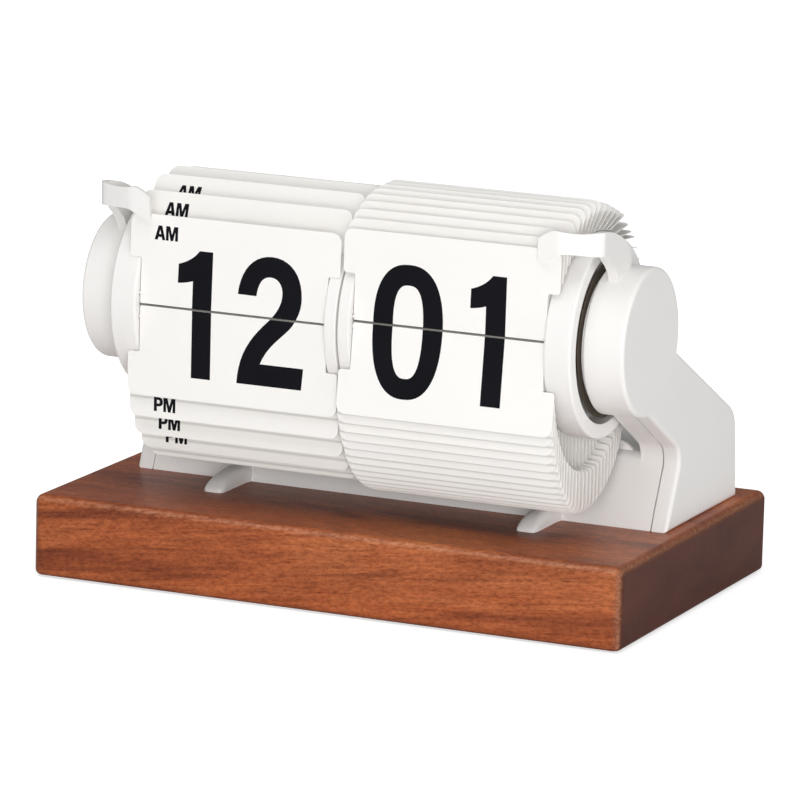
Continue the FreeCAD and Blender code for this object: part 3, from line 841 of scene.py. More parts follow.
# the stop levers, springy strips that bend round over the leaves
lever = {
    "outer": 84.8,
    "thickness": 1.6,
    "armThickness": 3.2,
    "ease": 0.42,
    # stations of the arm: upper and lower edge as (y, z) from the drum axis
    "arm": [((-1.5, 14.3), (-10.26, 14.3)), ((-1.35, 19.2), (-11.3, 18.2)), ((-1.4, 24.4), (-12.9, 22.4)),
            ((-2.5, 28.4), (-15.4, 25.2)), ((-5.2, 31.1), (-18.2, 27.3)), ((-9.5, 33.6), (-20.2, 28.9)),
            ((-14.6, 35.5), (-21.3, 29.65)), ((-18.8, 36.6), (-22.0, 29.73))],
    # stations of the bend and the bar: (inward, y, upper z, lower z)
    "bar": [(0.0, -23.0, 37.1, 29.73), (0.3, -24.1, 37.15, 29.73), (1.2, -25.2, 37.1, 29.75),
            (2.6, -26.0, 36.95, 29.8), (5.5, -27.1, 36.6, 29.95), (9.0, -28.3, 36.7, 30.15),
            (11.6, -29.1, 37.0, 30.1), (13.2, -29.42, 37.25, 29.7), (14.8, -29.46, 37.2, 28.9),
            (16.6, -29.46, 36.4, 27.9), (18.3, -29.46, 35.3, 27.5), (19.5, -29.46, 34.4, 27.6)],
    "rows": 5,
    "between": 3,
    "thinOver": 4,
}


def makeLever(side, hand):
    # each station: inward, y and z of the upper edge, y and z of the lower edge
    stations = [(0.0, *up, *low) for up, low in lever["arm"]]
    stations += [(inward, y, high, y, low) for inward, y, high, low in lever["bar"]]
    rows, between = lever["rows"], lever["between"]
    run = smoothRun(stations, between)
    last = len(run) - 1
    bend = len(lever["arm"]) * between
    points, faces = [], []
    for i, (inward, yUp, zUp, yLow, zLow) in enumerate(run):
        before, after = run[max(i - 1, 0)], run[min(i + 1, last)]
        forward = (after[1] + after[3] - before[1] - before[3]) / 2
        along = Vector((after[0] - before[0], forward)).normalized()
        if i < bend - between - 1:
            along = Vector((0, -1))   # the arm itself lies flat beside the pod
        across = Vector((-along.y, along.x))
        # the arm is thick and the bar thin
        thin = limited((i - bend + between) / (lever["thinOver"] * between))
        thick = lever["armThickness"] + (lever["thickness"] - lever["armThickness"]) * thin
        for offset in (0, thick):
            for k in range(rows + 1):
                y, z = yUp + (yLow - yUp) * k / rows, zUp + (zLow - zUp) * k / rows
                points.append((side * (lever["outer"] - inward - across.x * offset),
                               clock["axisY"] + y + across.y * offset, clock["axisZ"] + z))
    deep, width = rows + 1, 2 * (rows + 1)
    for i in range(last):
        here, there = i * width, (i + 1) * width
        for k in range(rows):
            faces.append((here + k, here + k + 1, there + k + 1, there + k))
            faces.append((there + deep + k, there + deep + k + 1, here + deep + k + 1, here + deep + k))
        for k in (0, rows):
            faces.append((here + k, there + k, there + deep + k, here + deep + k))
    for i in (0, last):
        for k in range(i * width, i * width + rows):
            faces.append((k, k + 1, k + 1 + deep, k + deep))
    obj = newPiece(hand + "StopLever", points, faces, smoothAngle=40)
    easeEdges(obj, lever["ease"], segments=3, angle=50, smoothAngle=45)
    return finish(obj, "frame", "white_plastic", finishes["whitePlastic"], hand + "_stop_lever")


for side, hand in hands:
    makeLever(side, hand)
print("stop levers made")

# the two drums; angles are in degrees from straight ahead, turning up and back
straightDown = 270
drums = {
    "hour": {"side": -1, "count": 24, "phase": 7.9, "lean": 84.5, "tail": 3.14, "tip": 25.1, "notch": 11.3,
             "droop": 0.0, "droopFall": 1.0, "lowTilt": 0.0, "splitHalf": 0.55, "gapSteps": 5},
    "minute": {"side": 1, "count": 60, "phase": 8.0, "lean": 83.0, "tail": 0.93, "tip": 27.3, "notch": 13.5,
               "droop": 5.2, "droopFall": 1.05, "lowTilt": 6.5, "splitHalf": 0.55, "gapSteps": 2},
}
flanges = {
    "inner": {"leafFace": 4.3, "backFace": 0.3, "ease": 0.5},
    "outer": {"leafFace": 68.7, "backFace": 77.7, "ease": 0.9},
    "radius": 31.2,
    "easeSteps": 6,
    "rimInner": 26.4,
    "web": 2.0,
    "bore": 5.05,
    "recessEase": 0.6,
    "backEase": 0.5,
    "lipEase": 0.4,
    "cornerCut": 0.3,
    "pocketHalf": 0.75,
    "pocketDepth": 1.3,
}


def onDrum(side, x, radius, degrees):
    turn = math.radians(degrees)
    return side * x, clock["axisY"] - radius * math.cos(turn), clock["axisZ"] + radius * math.sin(turn)


def easedCorner(x, r, alongX, alongR, size):
    # three points round a corner of a section
    cut = size * flanges["cornerCut"]
    return [(x, r + alongR * size), (x + alongX * cut, r + alongR * cut), (x + alongX * size, r)]


def flangeSection(which):
    # the turned section as (distance from the middle, radius), from the pocket band round the rim and back
    radius, rim, bore, pocketHalf = (flanges[k] for k in ("radius", "rimInner", "bore", "pocketHalf"))
    face, back, ease = (flanges[which][k] for k in ("leafFace", "backFace", "ease"))
    out = 1 if back > face else -1   # the way from the leaf face to the back face
    section = [(face, clock["pivotRadius"] + pocketHalf), (face, radius - ease)]
    turns = quarterTurn(flanges["easeSteps"])
    section += [(face + out * ease * (1 - c), radius - ease + ease * s) for c, s in turns[1:]]
    section += [(back - out * ease * (1 - s), radius - ease + ease * c) for c, s in turns]
    if which == "outer":
        # the web is flush with the leaf face, and the recess faces the pod
        web = face + out * flanges["web"]
        section += easedCorner(back, rim, -out, 1, flanges["backEase"])
        section += reversed(easedCorner(web, rim, out, -1, flanges["recessEase"]))
        section += [(web, bore), (face, bore)]
    else:
        # the web is flush with the middle of the clock, and the recess faces the leaves
        web, lip = back - out * flanges["web"], flanges["lipEase"]
        section += [(back, bore), (web, bore)]
        section += easedCorner(web, rim, -out, -1, flanges["recessEase"])
        section += [(face + out * lip, rim), (face, rim + lip)]
    return section + [(face, clock["pivotRadius"] - pocketHalf)], out


def makeFlange(drumName, which):
    drum, face = drums[drumName], flanges[which]["leafFace"]
    section, out = flangeSection(which)
    half = math.degrees(flanges["pocketHalf"] / clock["pivotRadius"])
    step, gapSteps = 360 / drum["count"], drum["gapSteps"]
    turns = []
    for i in range(drum["count"]):
        centre = drum["phase"] + step * i
        turns.append(centre - half)
        turns += [centre + half + (step - 2 * half) * k / gapSteps for k in range(gapSteps)]
    points = [onDrum(drum["side"], x, r, turn) for turn in turns for x, r in section]
    faces = []
    count, total = len(section), len(turns)
    for i in range(total):
        j = (i + 1) % total
        for k in range(count - 1):
            faces.append((i * count + k, i * count + k + 1, j * count + k + 1, j * count + k))
        # the pocket band of the leaf face, between the section's two ends
        low, high, lowNext, highNext = i * count + count - 1, i * count, j * count + count - 1, j * count
        if i % (gapSteps + 1):
            faces.append((low, high, highNext, lowNext))
            continue
        base = len(points)
        deep, pocketLow, pocketHigh = face + out * flanges["pocketDepth"], section[-1][1], section[0][1]
        for radius, t in ((pocketLow, i), (pocketHigh, i), (pocketHigh, j), (pocketLow, j)):
            points.append(onDrum(drum["side"], deep, radius, turns[t]))
        faces += [(low, high, base + 1, base), (high, highNext, base + 2, base + 1),
                  (highNext, lowNext, base + 3, base + 2), (lowNext, low, base, base + 3),
                  (base, base + 1, base + 2, base + 3)]
    obj = evenShading(newPiece(drumName + which.capitalize() + "Flange", points, faces, smoothAngle=30))
    return finish(obj, drumName + "_drum", "white_plastic", finishes["whitePlastic"],
                  drumName + "_" + which + "_flange")


for drumName in drums:
    for which in ("inner", "outer"):
        makeFlange(drumName, which)
print("drum flanges made")

# one leaf; the tail, notch and tip heights are the drum's own
leafShape = {
    "thickness": 0.3,
    "inner": 0.6,
    "innerNeck": 4.5,
    "outerNeck": 68.5,
    "outer": 72.5,
    "corner": 3.0,
    "neckCorner": 1.0,
    "notchCorner": 0.6,
    "tailCorner": 0.5,
    "earCorner": 0.2,
    "earReach": 1.3,
    "earHalf": 0.5,
    "edgeEase": 0.07,
}
pin = {
    "radius": 0.45,
    "endRadius": 0.3,
    "endLength": 0.15,
    "inLeaf": 1.1,
    "points": 16,
}
# the grey bead along the hinge edge of the lower leaf stands in as painted shade for the line between the
# two shown leaves
splitShadeBead = {
    "radius": 0.3,
    "endShare": 0.6,
    "endLength": 0.15,
    "depth": 0.11,
    "below": 0.25,
    "short": 0.3,
    "points": 10,
}
# how much the two shown leaves close the line between them
splitEase = {"front": 0.08, "lower": 0.3}


def leafSide(edge, neck, away, drum):
    # corners of one side, from the ear up to the tip; away is +1 or -1 from the leaf's middle
    s = leafShape
    ear, high, notch = neck + away * s["earReach"], s["earHalf"], drum["notch"]
    return [(neck, -high), (ear, -high, s["earCorner"]), (ear, high, s["earCorner"]), (neck, high),
            (neck, notch, s["notchCorner"]), (edge, notch, s["neckCorner"]),
            (edge, drum["tip"], s["corner"])]


def leafOutline(drum):
    s = leafShape
    corners = [(s[neck], -drum["tail"], s["tailCorner"]) for neck in ("innerNeck", "outerNeck")]
    corners += leafSide(s["outer"], s["outerNeck"], 1, drum)
    corners += reversed(leafSide(s["inner"], s["innerNeck"], -1, drum))
    return [Vector((drum["side"] * p.x, p.y)) for p in roundedOutline(corners, stepDegrees=15)]


def flatLeaf(name, drum):
    # one leaf at the origin, in metres: x across, z from the pivot to the tip, front towards -y
    outline = leafOutline(drum)
    half, ease = leafShape["thickness"] / 2, leafShape["edgeEase"]
    loops = []
    for inset, depth in ((ease, -half), (0, -half + ease), (0, half - ease), (ease, half)):
        ring = offsetOutline(outline, inset) if inset else outline
        loops.append([(p.x / 1000, depth / 1000, p.y / 1000) for p in ring])
    obj = addObject(name, newMesh(name, *skin(loops)))
    cleanMesh(obj, smoothAngle=30)
    paint(obj, "fromTip", lambda x, y, z: drum["tip"] - z)
    return obj


def leafMatrix(angle, direction):
    # from the flat leaf's own place to where it hangs on the drum
    spot = place(*onDrum(0, 0, clock["pivotRadius"], angle))
    return Matrix.Translation(spot) @ Matrix.Rotation(math.radians(90 - direction), 4, "X")


# inputs of the leaf fan and what they start from; the leaf and its material are set for each fan
fanSizes = {
    "Count": ("Int", 12),
    "First Angle": ("Float", 0.0),
    "Step": ("Float", 6.0),
    "Pivot Radius": ("Float", clock["pivotRadius"] / 1000),
    "Axis Y": ("Float", clock["axisY"] / 1000),
    "Axis Z": ("Float", (clock["axisZ"] + clock["padProud"]) / 1000),
    "Middle X": ("Float", clock["shiftX"] / 1000),
    "Hanging": ("Bool", False),
    "Lean": ("Float", 84.0),
    "Droop": ("Float", 0.0),
    "Droop Fall": ("Float", 1.0),
    "Fall Back": ("Float", 0.0),
    "Fall Limit": ("Float", 0.0),
    "Fall Start": ("Float", 9.0),
    "Wobble": ("Float", 0.3),
    "Still Leaves": ("Int", 3),
    "Seed": ("Int", 3),
    "Leaf": ("Object", None),
    "Material": ("Material", None),
}
fanRule = {
    "wobbleLow": -0.6,
    "loosen": 0.12,
    "stripCurve": 0.21,
    "stripLeast": 0.12,
}


def buildFanTree():
    # leaves set round a drum: standing ones lean by a fixed angle, hanging ones droop under their weight
    tree = bpy.data.node_groups.new("leafFan", "GeometryNodeTree")
    for name, (kind, start) in fanSizes.items():
        socket = tree.interface.new_socket(name, in_out="INPUT", socket_type="NodeSocket" + kind)
        if start is not None:
            socket.default_value = start
    tree.interface.new_socket("Geometry", in_out="OUTPUT", socket_type="NodeSocketGeometry")
    new, link = tree.nodes.new, tree.links.new
    given = new("NodeGroupInput").outputs

    def value(operation, *values):
        return mathNode(tree, operation, *values)

    def atLeast(low, source):
        return value("MAXIMUM", low, source)

    def whenHanging(standing, hanging):
        pick = new("GeometryNodeSwitch")
        pick.input_type = "FLOAT"
        for socket, source in zip(pick.inputs, (given["Hanging"], standing, hanging)):
            link(source, socket)
        return pick.outputs[0]

    def vector(*parts):
        joint = new("ShaderNodeCombineXYZ")
        for socket, source in zip(joint.inputs, parts):
            link(source, socket)
        return joint.outputs[0]

    def chance(low):
        draw = new("FunctionNodeRandomValue")
        draw.data_type = "FLOAT"
        draw.inputs[2].default_value = low
        draw.inputs[3].default_value = 1.0
        link(given["Seed"], draw.inputs["Seed"])
        return draw

    def stored(geometry, name, source):
        keep = new("GeometryNodeStoreNamedAttribute")
        keep.domain = "INSTANCE"
        keep.data_type = "FLOAT"
        keep.inputs["Name"].default_value = name
        link(geometry, keep.inputs["Geometry"])
        link(source, keep.inputs["Value"])
        return keep.outputs[0]

    index = new("GeometryNodeInputIndex").outputs[0]
    angle = value("MULTIPLY_ADD", index, given["Step"], given["First Angle"])
    turn = value("RADIANS", angle)
    cosine, sine = value("COSINE", turn), value("SINE", turn)
    y = value("SUBTRACT", given["Axis Y"], value("MULTIPLY", given["Pivot Radius"], cosine))
    z = value("ADD", given["Axis Z"], value("MULTIPLY", given["Pivot Radius"], sine))
    fromFront = value("SUBTRACT", given["Count"], index)

    # the way each leaf points: the last standing ones have fallen back, the hanging ones droop a little
    fallen = atLeast(0.0, value("SUBTRACT", index, given["Fall Start"]))
    fallen = value("MINIMUM", value("MULTIPLY", fallen, given["Fall Back"]), given["Fall Limit"])
    upright = value("SUBTRACT", value("ADD", angle, given["Lean"]), fallen)
    droop = value("MULTIPLY", given["Droop Fall"], fromFront)
    droop = atLeast(0.0, value("SUBTRACT", given["Droop"], droop))
    wobble = chance(fanRule["wobbleLow"])
    link(index, wobble.inputs["ID"])
    order = whenHanging(index, fromFront)
    loose = value("MULTIPLY", value("SUBTRACT", order, given["Still Leaves"]), fanRule["loosen"])
    loose = value("MINIMUM", 1.0, atLeast(0.0, loose))
    wobble = value("MULTIPLY", value("MULTIPLY", wobble.outputs[1], given["Wobble"]), loose)
    direction = value("ADD", wobble, whenHanging(upright, value("ADD", straightDown, droop)))
    tilt = new("FunctionNodeEulerToRotation")
    link(vector(value("RADIANS", value("SUBTRACT", 90.0, direction))), tilt.inputs[0])

    spots = new("GeometryNodePoints")
    link(given["Count"], spots.inputs["Count"])
    link(vector(given["Middle X"], y, z), spots.inputs["Position"])
    leaf = new("GeometryNodeObjectInfo")
    link(given["Leaf"], leaf.inputs[0])
    placed = new("GeometryNodeInstanceOnPoints")
    for name, source in (("Points", spots.outputs[0]), ("Instance", leaf.outputs["Geometry"]),
                         ("Rotation", tilt.outputs[0])):
        link(source, placed.inputs[name])

    # a tone for each leaf, and how much of a hanging one is seen below the leaf in front, in mm, for the
    # painted shade band
    geometry = stored(placed.outputs[0], "leafTone", chance(0.0).outputs[1])
    curve = value("MULTIPLY", fanRule["stripCurve"], value("ABSOLUTE", sine))
    share = atLeast(fanRule["stripLeast"], value("SUBTRACT", cosine, curve))
    radius = value("MULTIPLY", given["Pivot Radius"], 1000.0)
    pitch = value("MULTIPLY", radius, value("RADIANS", given["Step"]))
    geometry = stored(geometry, "strip", value("MULTIPLY", pitch, share))
    real = new("GeometryNodeRealizeInstances")
    link(geometry, real.inputs[0])
    painted = new("GeometryNodeSetMaterial")
    link(real.outputs[0], painted.inputs[0])
    link(given["Material"], painted.inputs["Material"])
    link(painted.outputs[0], new("NodeGroupOutput").inputs[0])
    return tree


fanTree = buildFanTree()
fanInputs = {item.name: item.identifier for item in fanTree.interface.items_tree if item.in_out == "INPUT"}


def leafFan(drumName, kind, settings):
    name = drumName + kind.capitalize() + "Leaves"
    obj = addObject(name, bpy.data.meshes.new(name))
    fan = obj.modifiers.new("leafFan", "NODES")
    fan.node_group = fanTree
    for key, (_, start) in fanSizes.items():
        fan[fanInputs[key]] = settings.get(key, start)
    obj.update_tag()
    bake(obj)
    return finish(obj, drumName + "_drum", "leaf_plastic", None, drumName + "_leaves_" + kind)


def copyLeaf(name, leaf, matrix):
    obj = addObject(name, leaf.data.copy())
    obj.data.transform(matrix)
    return obj


def addPins(obj, side, angle):
    # the front leaf's two round pins
    s, end = leafShape, pin["endLength"]
    _, y, z = onDrum(0, 0, clock["pivotRadius"], angle)
    bm = bmesh.new()
    bm.from_mesh(obj.data)
    for low, high in ((s["innerNeck"] - s["earReach"], s["innerNeck"] + pin["inLeaf"]),
                      (s["outerNeck"] - pin["inLeaf"], s["outerNeck"] + s["earReach"])):
        rings = []
        for x, r in ((low, pin["endRadius"]), (low + end, pin["radius"]), (high - end, pin["radius"]),
                     (high, pin["endRadius"])):
            rings.append([bm.verts.new(place(side * x, y + r * across, z + r * up))
                          for across, up in wholeTurn(pin["points"])])
        for first, second in zip(rings, rings[1:]):
            for k in range(pin["points"]):
                bm.faces.new((first[k - 1], first[k], second[k], second[k - 1]))
        bm.faces.new(rings[0])
        bm.faces.new(rings[-1])
    bmesh.ops.recalc_face_normals(bm, faces=bm.faces)
    bm.to_mesh(obj.data)
    bm.free()
    smoothFaces(obj, smoothAngle=30)


def addSplitShadeBead(drumName, drum, matrix):
    radius, depth = splitShadeBead["radius"], splitShadeBead["depth"]
    end, endShare = splitShadeBead["endLength"], splitShadeBead["endShare"]
    middle = -(drum["tail"] + splitEase["lower"] + splitShadeBead["below"])
    low, far = leafShape["innerNeck"] + splitShadeBead["short"], leafShape["outerNeck"] - splitShadeBead["short"]
    loops = []
    for x, share in ((low, endShare), (low + end, 1), (far - end, 1), (far, endShare)):
        ring = [(drum["side"] * x, depth * share * c, middle + radius * share * s)
                for c, s in wholeTurn(splitShadeBead["points"])]
        loops.append([Vector(p) / 1000 for p in ring])
    obj = addObject(drumName + "HingeBead", newMesh(drumName + "HingeBead", *skin(loops)))
    obj.data.transform(matrix)
    cleanMesh(obj, smoothAngle=40)
    return finish(obj, drumName + "_drum", "leaf_plastic", finishes["hingeGrey"])


fanLook = {
    "hour": {"seed": 4, "wobble": 1.6, "hangWobble": 0.0,
             "fallBack": 0.8, "fallLimit": 3.0, "fallStart": 3.0},
    "minute": {"seed": 11, "wobble": 3.0, "hangWobble": 0.3,
               "fallBack": 0.55, "fallLimit": 4.5, "fallStart": 9.0},
    "stillStanding": 3,
    "stillHanging": 5,
}


def findPlaces(drum):
    # where the shown leaves, and the ones next to them, sit on the drum
    step = 360 / drum["count"]
    places = {}
    for k, spot in enumerate(("front", "second", "third")):
        angle = drum["phase"] + k * step
        places[spot] = leafMatrix(angle, angle + drum["lean"])
    for k, spot in enumerate(("lower", "lowerSecond", "lowerThird", "lowerFourth")):
        tilt = max(0.0, drum["droop"] - k * drum["droopFall"]) if k else drum["lowTilt"]
        places[spot] = leafMatrix(drum["phase"] - (k + 1) * step, straightDown + tilt)
    return places


def makeLeaves(drumName, places):
    drum, look = drums[drumName], fanLook[drumName]
    step = 360 / drum["count"]
    # leaves stand as long as they point no lower than straight down, counted from the front one
    standing = sum(drum["phase"] + step * i + drum["lean"] < straightDown for i in range(drum["count"]))
    leaf = flatLeaf(drumName + "LeafPattern", drum)
    near = flatLeaf(drumName + "NearPattern", {**drum, "tail": drum["tail"] + splitEase["front"]})
    below = flatLeaf(drumName + "BelowPattern", {**drum, "tail": drum["tail"] + splitEase["lower"]})
    leafFan(drumName, "standing", {
        "Leaf": leaf, "Count": standing - 1, "First Angle": drum["phase"] + step, "Step": step,
        "Lean": drum["lean"], "Fall Back": look["fallBack"], "Fall Limit": look["fallLimit"],
        "Fall Start": look["fallStart"], "Wobble": look["wobble"], "Still Leaves": fanLook["stillStanding"],
        "Seed": look["seed"], "Material": finishes["leafPlastic"]})
    leafFan(drumName, "hanging", {
        "Leaf": leaf, "Count": drum["count"] - standing - 1, "First Angle": drum["phase"] + step * standing,
        "Step": step, "Hanging": True, "Droop": drum["droop"], "Droop Fall": drum["droopFall"],
        "Wobble": look["hangWobble"], "Still Leaves": fanLook["stillHanging"], "Seed": look["seed"] + 1,
        "Material": finishes["hangingPlastic"]})
    front = copyLeaf(drumName + "FrontLeaf", near, places["front"])
    addPins(front, drum["side"], drum["phase"])
    lower = copyLeaf(drumName + "LowerLeaf", below, places["lower"])
    for obj, body, node in ((front, "_front_leaf", "_front_leaf"), (lower, "_drum", "_lower_leaf")):
        finish(obj, drumName + body, "leaf_plastic", finishes["leafPlastic"], drumName + node)
    addSplitShadeBead(drumName, drum, places["lower"])
    for pattern in (leaf, near, below):
        bpy.data.objects.remove(pattern)


leafPlaces = {drumName: findPlaces(drum) for drumName, drum in drums.items()}
for drumName in drums:
    makeLeaves(drumName, leafPlaces[drumName])
print("leaves made")


def curvedLoop(start, pieces, steps=10):
    # start point, then (x, y) line ends or (x1, y1, x2, y2, x3, y3) curves
    path = [Vector(start)]
    for piece in pieces:
        if len(piece) == 2:
            path.append(Vector(piece))
            continue
        a, b, c, d = path[-1], Vector(piece[0:2]), Vector(piece[2:4]), Vector(piece[4:6])
        for k in range(1, steps + 1):
            t = k / steps
            u = 1 - t
            path.append(a * u ** 3 + b * 3 * t * u ** 2 + c * 3 * t * t * u + d * t ** 3)
    return path


def ovalLoop(centre, halfWidth, high, low, power, points=64):
    return [Vector((centre + halfWidth * math.copysign(abs(c) ** (2 / power), c),
                    (high if s > 0 else low) * abs(s) ** (2 / power))) for c, s in wholeTurn(points)]


# x from the numeral's left edge, height from the line between the two halves, in millimetres
numeralShapes = {
    "1": [curvedLoop((0.1, 14.1), [
        (3.1, 14.9, 5.6, 16.5, 7.2, 18.7), (11.8, 18.7), (11.8, -21.5), (5.2, -21.5), (5.2, 9.1),
        (3.5, 8.5, 1.8, 8.2, 0.0, 8.1)])],
    "2": [curvedLoop((0.0, 6.7), [
        (0.8, 14.6, 5.0, 19.3, 11.3, 19.3), (17.8, 19.3, 21.8, 14.2, 21.8, 7.2),
        (21.8, 3.6, 20.6, 1.0, 18.7, -1.7), (16.5, -4.8, 10.5, -8.3, 8.1, -14.6), (22.9, -14.6),
        (22.3, -21.4), (0.2, -21.4), (0.6, -12.2, 4.4, -6.8, 10.6, -0.9), (13.2, 1.6, 15.2, 4.6, 15.2, 8.0),
        (15.2, 10.8, 13.6, 12.9, 11.0, 12.9), (8.4, 12.9, 6.8, 10.8, 6.4, 6.6)])],
    "0": [ovalLoop(11.65, 11.65, 19.3, -22.3, 2.42), ovalLoop(11.65, 5.05, 12.9, -15.9, 2.75)],
}
# width, then x from the letter's left edge and height from its foot, for a letter one unit high
letterShapes = {
    "A": (0.80, [
        curvedLoop((0, 0), [(0.27, 1), (0.53, 1), (0.80, 0), (0.60, 0), (0.55, 0.21), (0.25, 0.21),
                            (0.20, 0)]),
        curvedLoop((0.295, 0.38), [(0.505, 0.38), (0.40, 0.80)])]),
    "P": (0.68, [
        curvedLoop((0, 0), [(0, 1), (0.36, 1), (0.56, 1, 0.68, 0.88, 0.68, 0.69),
                            (0.68, 0.50, 0.56, 0.37, 0.36, 0.37), (0.20, 0.37), (0.20, 0)], 6),
        curvedLoop((0.20, 0.53), [(0.33, 0.53), (0.43, 0.53, 0.48, 0.58, 0.48, 0.685),
                                  (0.48, 0.79, 0.43, 0.84, 0.33, 0.84), (0.20, 0.84)], 6)]),
    "M": (0.92, [
        curvedLoop((0, 0), [(0, 1), (0.28, 1), (0.46, 0.36), (0.64, 1), (0.92, 1), (0.92, 0), (0.74, 0),
                            (0.74, 0.72), (0.545, 0), (0.375, 0), (0.18, 0.72), (0.18, 0)])]),
}
printing = {
    "filmBack": 0.004,
    "filmFront": 0.022,
    "mergeGap": 0.0005,
    "flatAngle": 0.01,
    "letterHeight": 4.3,
    "letterGap": 0.09,
    "bold": 0.022,
    # (numeral, x of its left edge) of what is shown, and of what one flip brings up
    "shown": {"hour": [("1", -55.7), ("2", -35.0)], "minute": [("0", 11.1), ("1", 43.2)]},
    "next": {"hour": [("1", -42.0)], "minute": [("0", 11.1), ("2", 38.6)]},
}
# small words on the hour leaves: text, x of the middle, distance along the leaf, on its back or not, leaves
labels = {
    "upper": ("AM", -60.2, 19.45, False, ("front", "second", "third")),
    "lower": ("PM", -60.3, 20.7, True, ("lowerSecond", "lowerThird", "lowerFourth")),
}


def filmShape(loopSets):
    # flat faces from sets of loops, each an outline and its holes, in the (x, height) plane
    parts = []
    for loops in loopSets:
        flat = [[Vector((p.x, p.y, 0)) for p in loop] for loop in loops]
        parts.append(([p for loop in flat for p in loop], [tuple(t) for t in tessellate_polygon(flat)]))
    return joined(parts)


def printedFilm(name, loopSets, toLeaf, matrix, onBack, body, lowest=None):
    # ink standing just proud of a leaf; toLeaf turns a height into the flat leaf's z, lowest trims it there
    points, faces = filmShape(loopSets)
    bm = bmesh.new()
    verts = [bm.verts.new((p.x, 0, toLeaf(p.y))) for p in points]
    for face in faces:
        bm.faces.new([verts[i] for i in face])
    bmesh.ops.remove_doubles(bm, verts=bm.verts, dist=printing["mergeGap"])
    if lowest is not None:
        bmesh.ops.bisect_plane(bm, geom=bm.verts[:] + bm.edges[:] + bm.faces[:], plane_co=(0, 0, lowest),
                               plane_no=(0, 0, -1), clear_outer=True)
    bmesh.ops.dissolve_limit(bm, angle_limit=printing["flatAngle"], verts=bm.verts, edges=bm.edges)
    half, facing = leafShape["thickness"] / 2, 1 if onBack else -1
    for v in bm.verts:
        v.co.y = facing * (half + printing["filmBack"])
    raised = bmesh.ops.extrude_face_region(bm, geom=bm.faces[:])
    for v in raised["geom"]:
        if isinstance(v, bmesh.types.BMVert):
            v.co.y = facing * (half + printing["filmFront"])
    bmesh.ops.recalc_face_normals(bm, faces=bm.faces)
    for v in bm.verts:
        v.co = v.co / 1000
    mesh = bpy.data.meshes.new(name)
    bm.to_mesh(mesh)
    bm.free()
    mesh.transform(matrix)
    obj = addObject(name, mesh)
    smoothFaces(obj, smoothAngle=20)
    return finish(obj, body, "leaf_plastic", finishes["printInk"])


def shifted(loops, dx, dz=0.0, scale=1.0):
    return [[Vector((p.x * scale + dx, p.y * scale + dz)) for p in loop] for loop in loops]


def printNumeral(name, row, drumName, spot, part, onBack):
    # half a row of numerals: a leaf's front carries the upper half, and its back the lower one upside down
    drum, turn = drums[drumName], -1 if onBack else 1
    base, edge = drum["splitHalf"] + drum["tail"], drum["tail"]
    if part == "front_leaf":
        edge += splitEase["front"]
    elif onBack:
        edge += splitEase["lower"]
    loopSets = [shifted(numeralShapes[text], left) for text, left in row[drumName]]
    matrix, body = leafPlaces[drumName][spot], drumName + "_" + part
    printedFilm(drumName + name, loopSets, lambda high: turn * high - base, matrix, onBack, body, -edge)


def word(text, middleX):
    # capital letters side by side, centred on a point and grown a little all round, holes included
    size, gap, bold = printing["letterHeight"], printing["letterGap"], printing["bold"]
    left = -(sum(letterShapes[c][0] for c in text) + gap * (len(text) - 1)) / 2
    loopSets = []
    for width, loops in (letterShapes[c] for c in text):
        grown = [offsetOutline(loop, bold if k else -bold) for k, loop in enumerate(loops)]
        loopSets.append(shifted(grown, middleX + left * size, -size / 2, size))
        left += width + gap
    return loopSets


for drumName in drums:
    printNumeral("NumeralUpper", printing["shown"], drumName, "front", "front_leaf", False)
    printNumeral("NumeralLower", printing["shown"], drumName, "lower", "drum", True)
    printNumeral("NumeralNextUpper", printing["next"], drumName, "second", "drum", False)
    printNumeral("NumeralNextLower", printing["next"], drumName, "front", "front_leaf", True)
for kind, (text, x, along, onBack, spots) in labels.items():
    turn = -1 if onBack else 1
    for order, spot in zip(("First", "Second", "Third"), spots):
        body = "hour_front_leaf" if spot == "front" else "hour_drum"
        printedFilm(kind + "Label" + order, word(text, x), lambda high: along + turn * high,
                    leafPlaces["hour"][spot], onBack, body)
print("numerals printed")

studio = {
    "floorHalf": 9.0,
    "floorFinish": {"Base Color": (0.92, 0.92, 0.92, 1), "Roughness": 0.9, "Specular IOR Level": 0.1,
                    "Emission Color": (1, 1, 1, 1)},
    "worldStrength": 0.25,
    # the floor's own glow near the clock and away from it, and where it changes from one to the other
    "glow": (0.62, 0.95),
    "glowReach": (0.12, 0.5),
    # name, place, aimed at, width, height, watts
    "lamps": [
        ("cameraSide", (0.56, -1.38, 0.26), (0, 0, 0.06), 1.0, 0.5, 9.9),
        ("topSoft", (0.0, -0.6, 1.25), (0, 0, 0.05), 1.5, 1.0, 7.6),
        ("rightFill", (1.5, -0.1, 0.35), (0, 0, 0.06), 0.8, 0.6, 4.5),
    ],
}
camera = {
    "yaw": 23.8,
    "pitch": 12.01,
    "roll": 1.503,
    "target": (0.0, 0.0, 0.0456),
    "across": -0.00166,
    "up": 0.01079,
    "distance": 1.8759,
    "lens": 265.94,
    "sensor": 36,
    "nearest": 0.1,
    "farthest": 40,
}


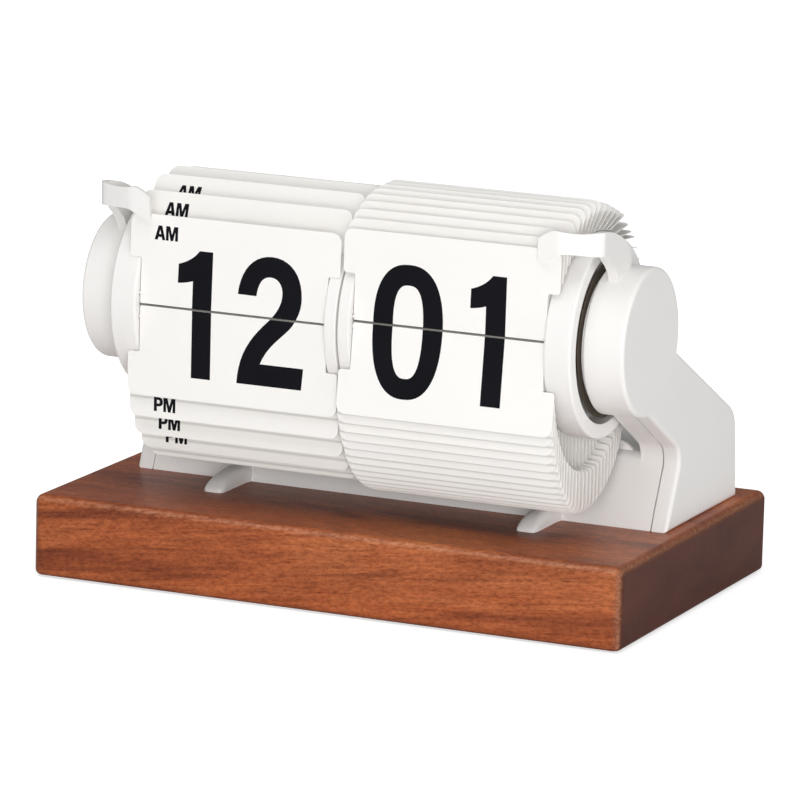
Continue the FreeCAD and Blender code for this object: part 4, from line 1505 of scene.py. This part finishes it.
def makeFloor():
    half = studio["floorHalf"]
    corners = [(-half, -half, 0), (half, -half, 0), (half, half, 0), (-half, half, 0)]
    obj = addObject("floor", newMesh("floor", corners, [(0, 1, 2, 3)]))
    mat, tree, shader, coords = newMaterial("paleFloor")
    for name, value in studio["floorFinish"].items():
        shader.inputs[name].default_value = value
    # the glow that keeps the floor white eases off near the clock, where its shadow lies
    away = tree.nodes.new("ShaderNodeVectorMath")
    away.operation = "LENGTH"
    tree.links.new(coords, away.inputs[0])
    ease = tree.nodes.new("ShaderNodeMapRange")
    for i, value in enumerate(studio["glowReach"] + studio["glow"]):
        ease.inputs[i + 1].default_value = value
    tree.links.new(away.outputs["Value"], ease.inputs[0])
    seen = tree.nodes.new("ShaderNodeLightPath").outputs["Is Camera Ray"]
    tree.links.new(mathNode(tree, "MULTIPLY", seen, ease.outputs[0]), shader.inputs["Emission Strength"])
    obj.data.materials.append(mat)


def makeLights():
    world = bpy.data.worlds.new("studioWorld")
    world.use_nodes = True
    background = world.node_tree.nodes["Background"].inputs
    background["Color"].default_value = (1, 1, 1, 1)
    background["Strength"].default_value = studio["worldStrength"]
    bpy.context.scene.world = world
    for name, spot, aim, width, height, watts in studio["lamps"]:
        lamp = bpy.data.lights.new(name, "AREA")
        lamp.shape = "RECTANGLE"
        lamp.size = width
        lamp.size_y = height
        lamp.energy = watts
        obj = addObject(name, lamp)
        obj.location = spot
        obj.rotation_euler = (Vector(aim) - Vector(spot)).to_track_quat("-Z", "Y").to_euler()


def makeCamera():
    yaw, pitch, roll = (math.radians(camera[k]) for k in ("yaw", "pitch", "roll"))
    forward = Vector((-math.sin(yaw) * math.cos(pitch), math.cos(yaw) * math.cos(pitch), -math.sin(pitch)))
    right = Vector((math.cos(yaw), math.sin(yaw), 0))
    up = right.cross(forward)
    across = right * math.cos(roll) + up * math.sin(roll)
    over = up * math.cos(roll) - right * math.sin(roll)
    spot = Vector(camera["target"]) - forward * camera["distance"]
    spot += across * camera["across"] + over * camera["up"]
    data = bpy.data.cameras.new("camera")
    data.lens = camera["lens"]
    data.sensor_width = camera["sensor"]
    data.clip_start = camera["nearest"]
    data.clip_end = camera["farthest"]
    obj = addObject("camera", data)
    obj.matrix_world = Matrix.Translation(spot) @ Matrix((across, over, -forward)).transposed().to_4x4()
    bpy.context.scene.camera = obj


makeFloor()
makeLights()
makeCamera()
bpy.context.scene.view_settings.view_transform = "Standard"
print("studio set")
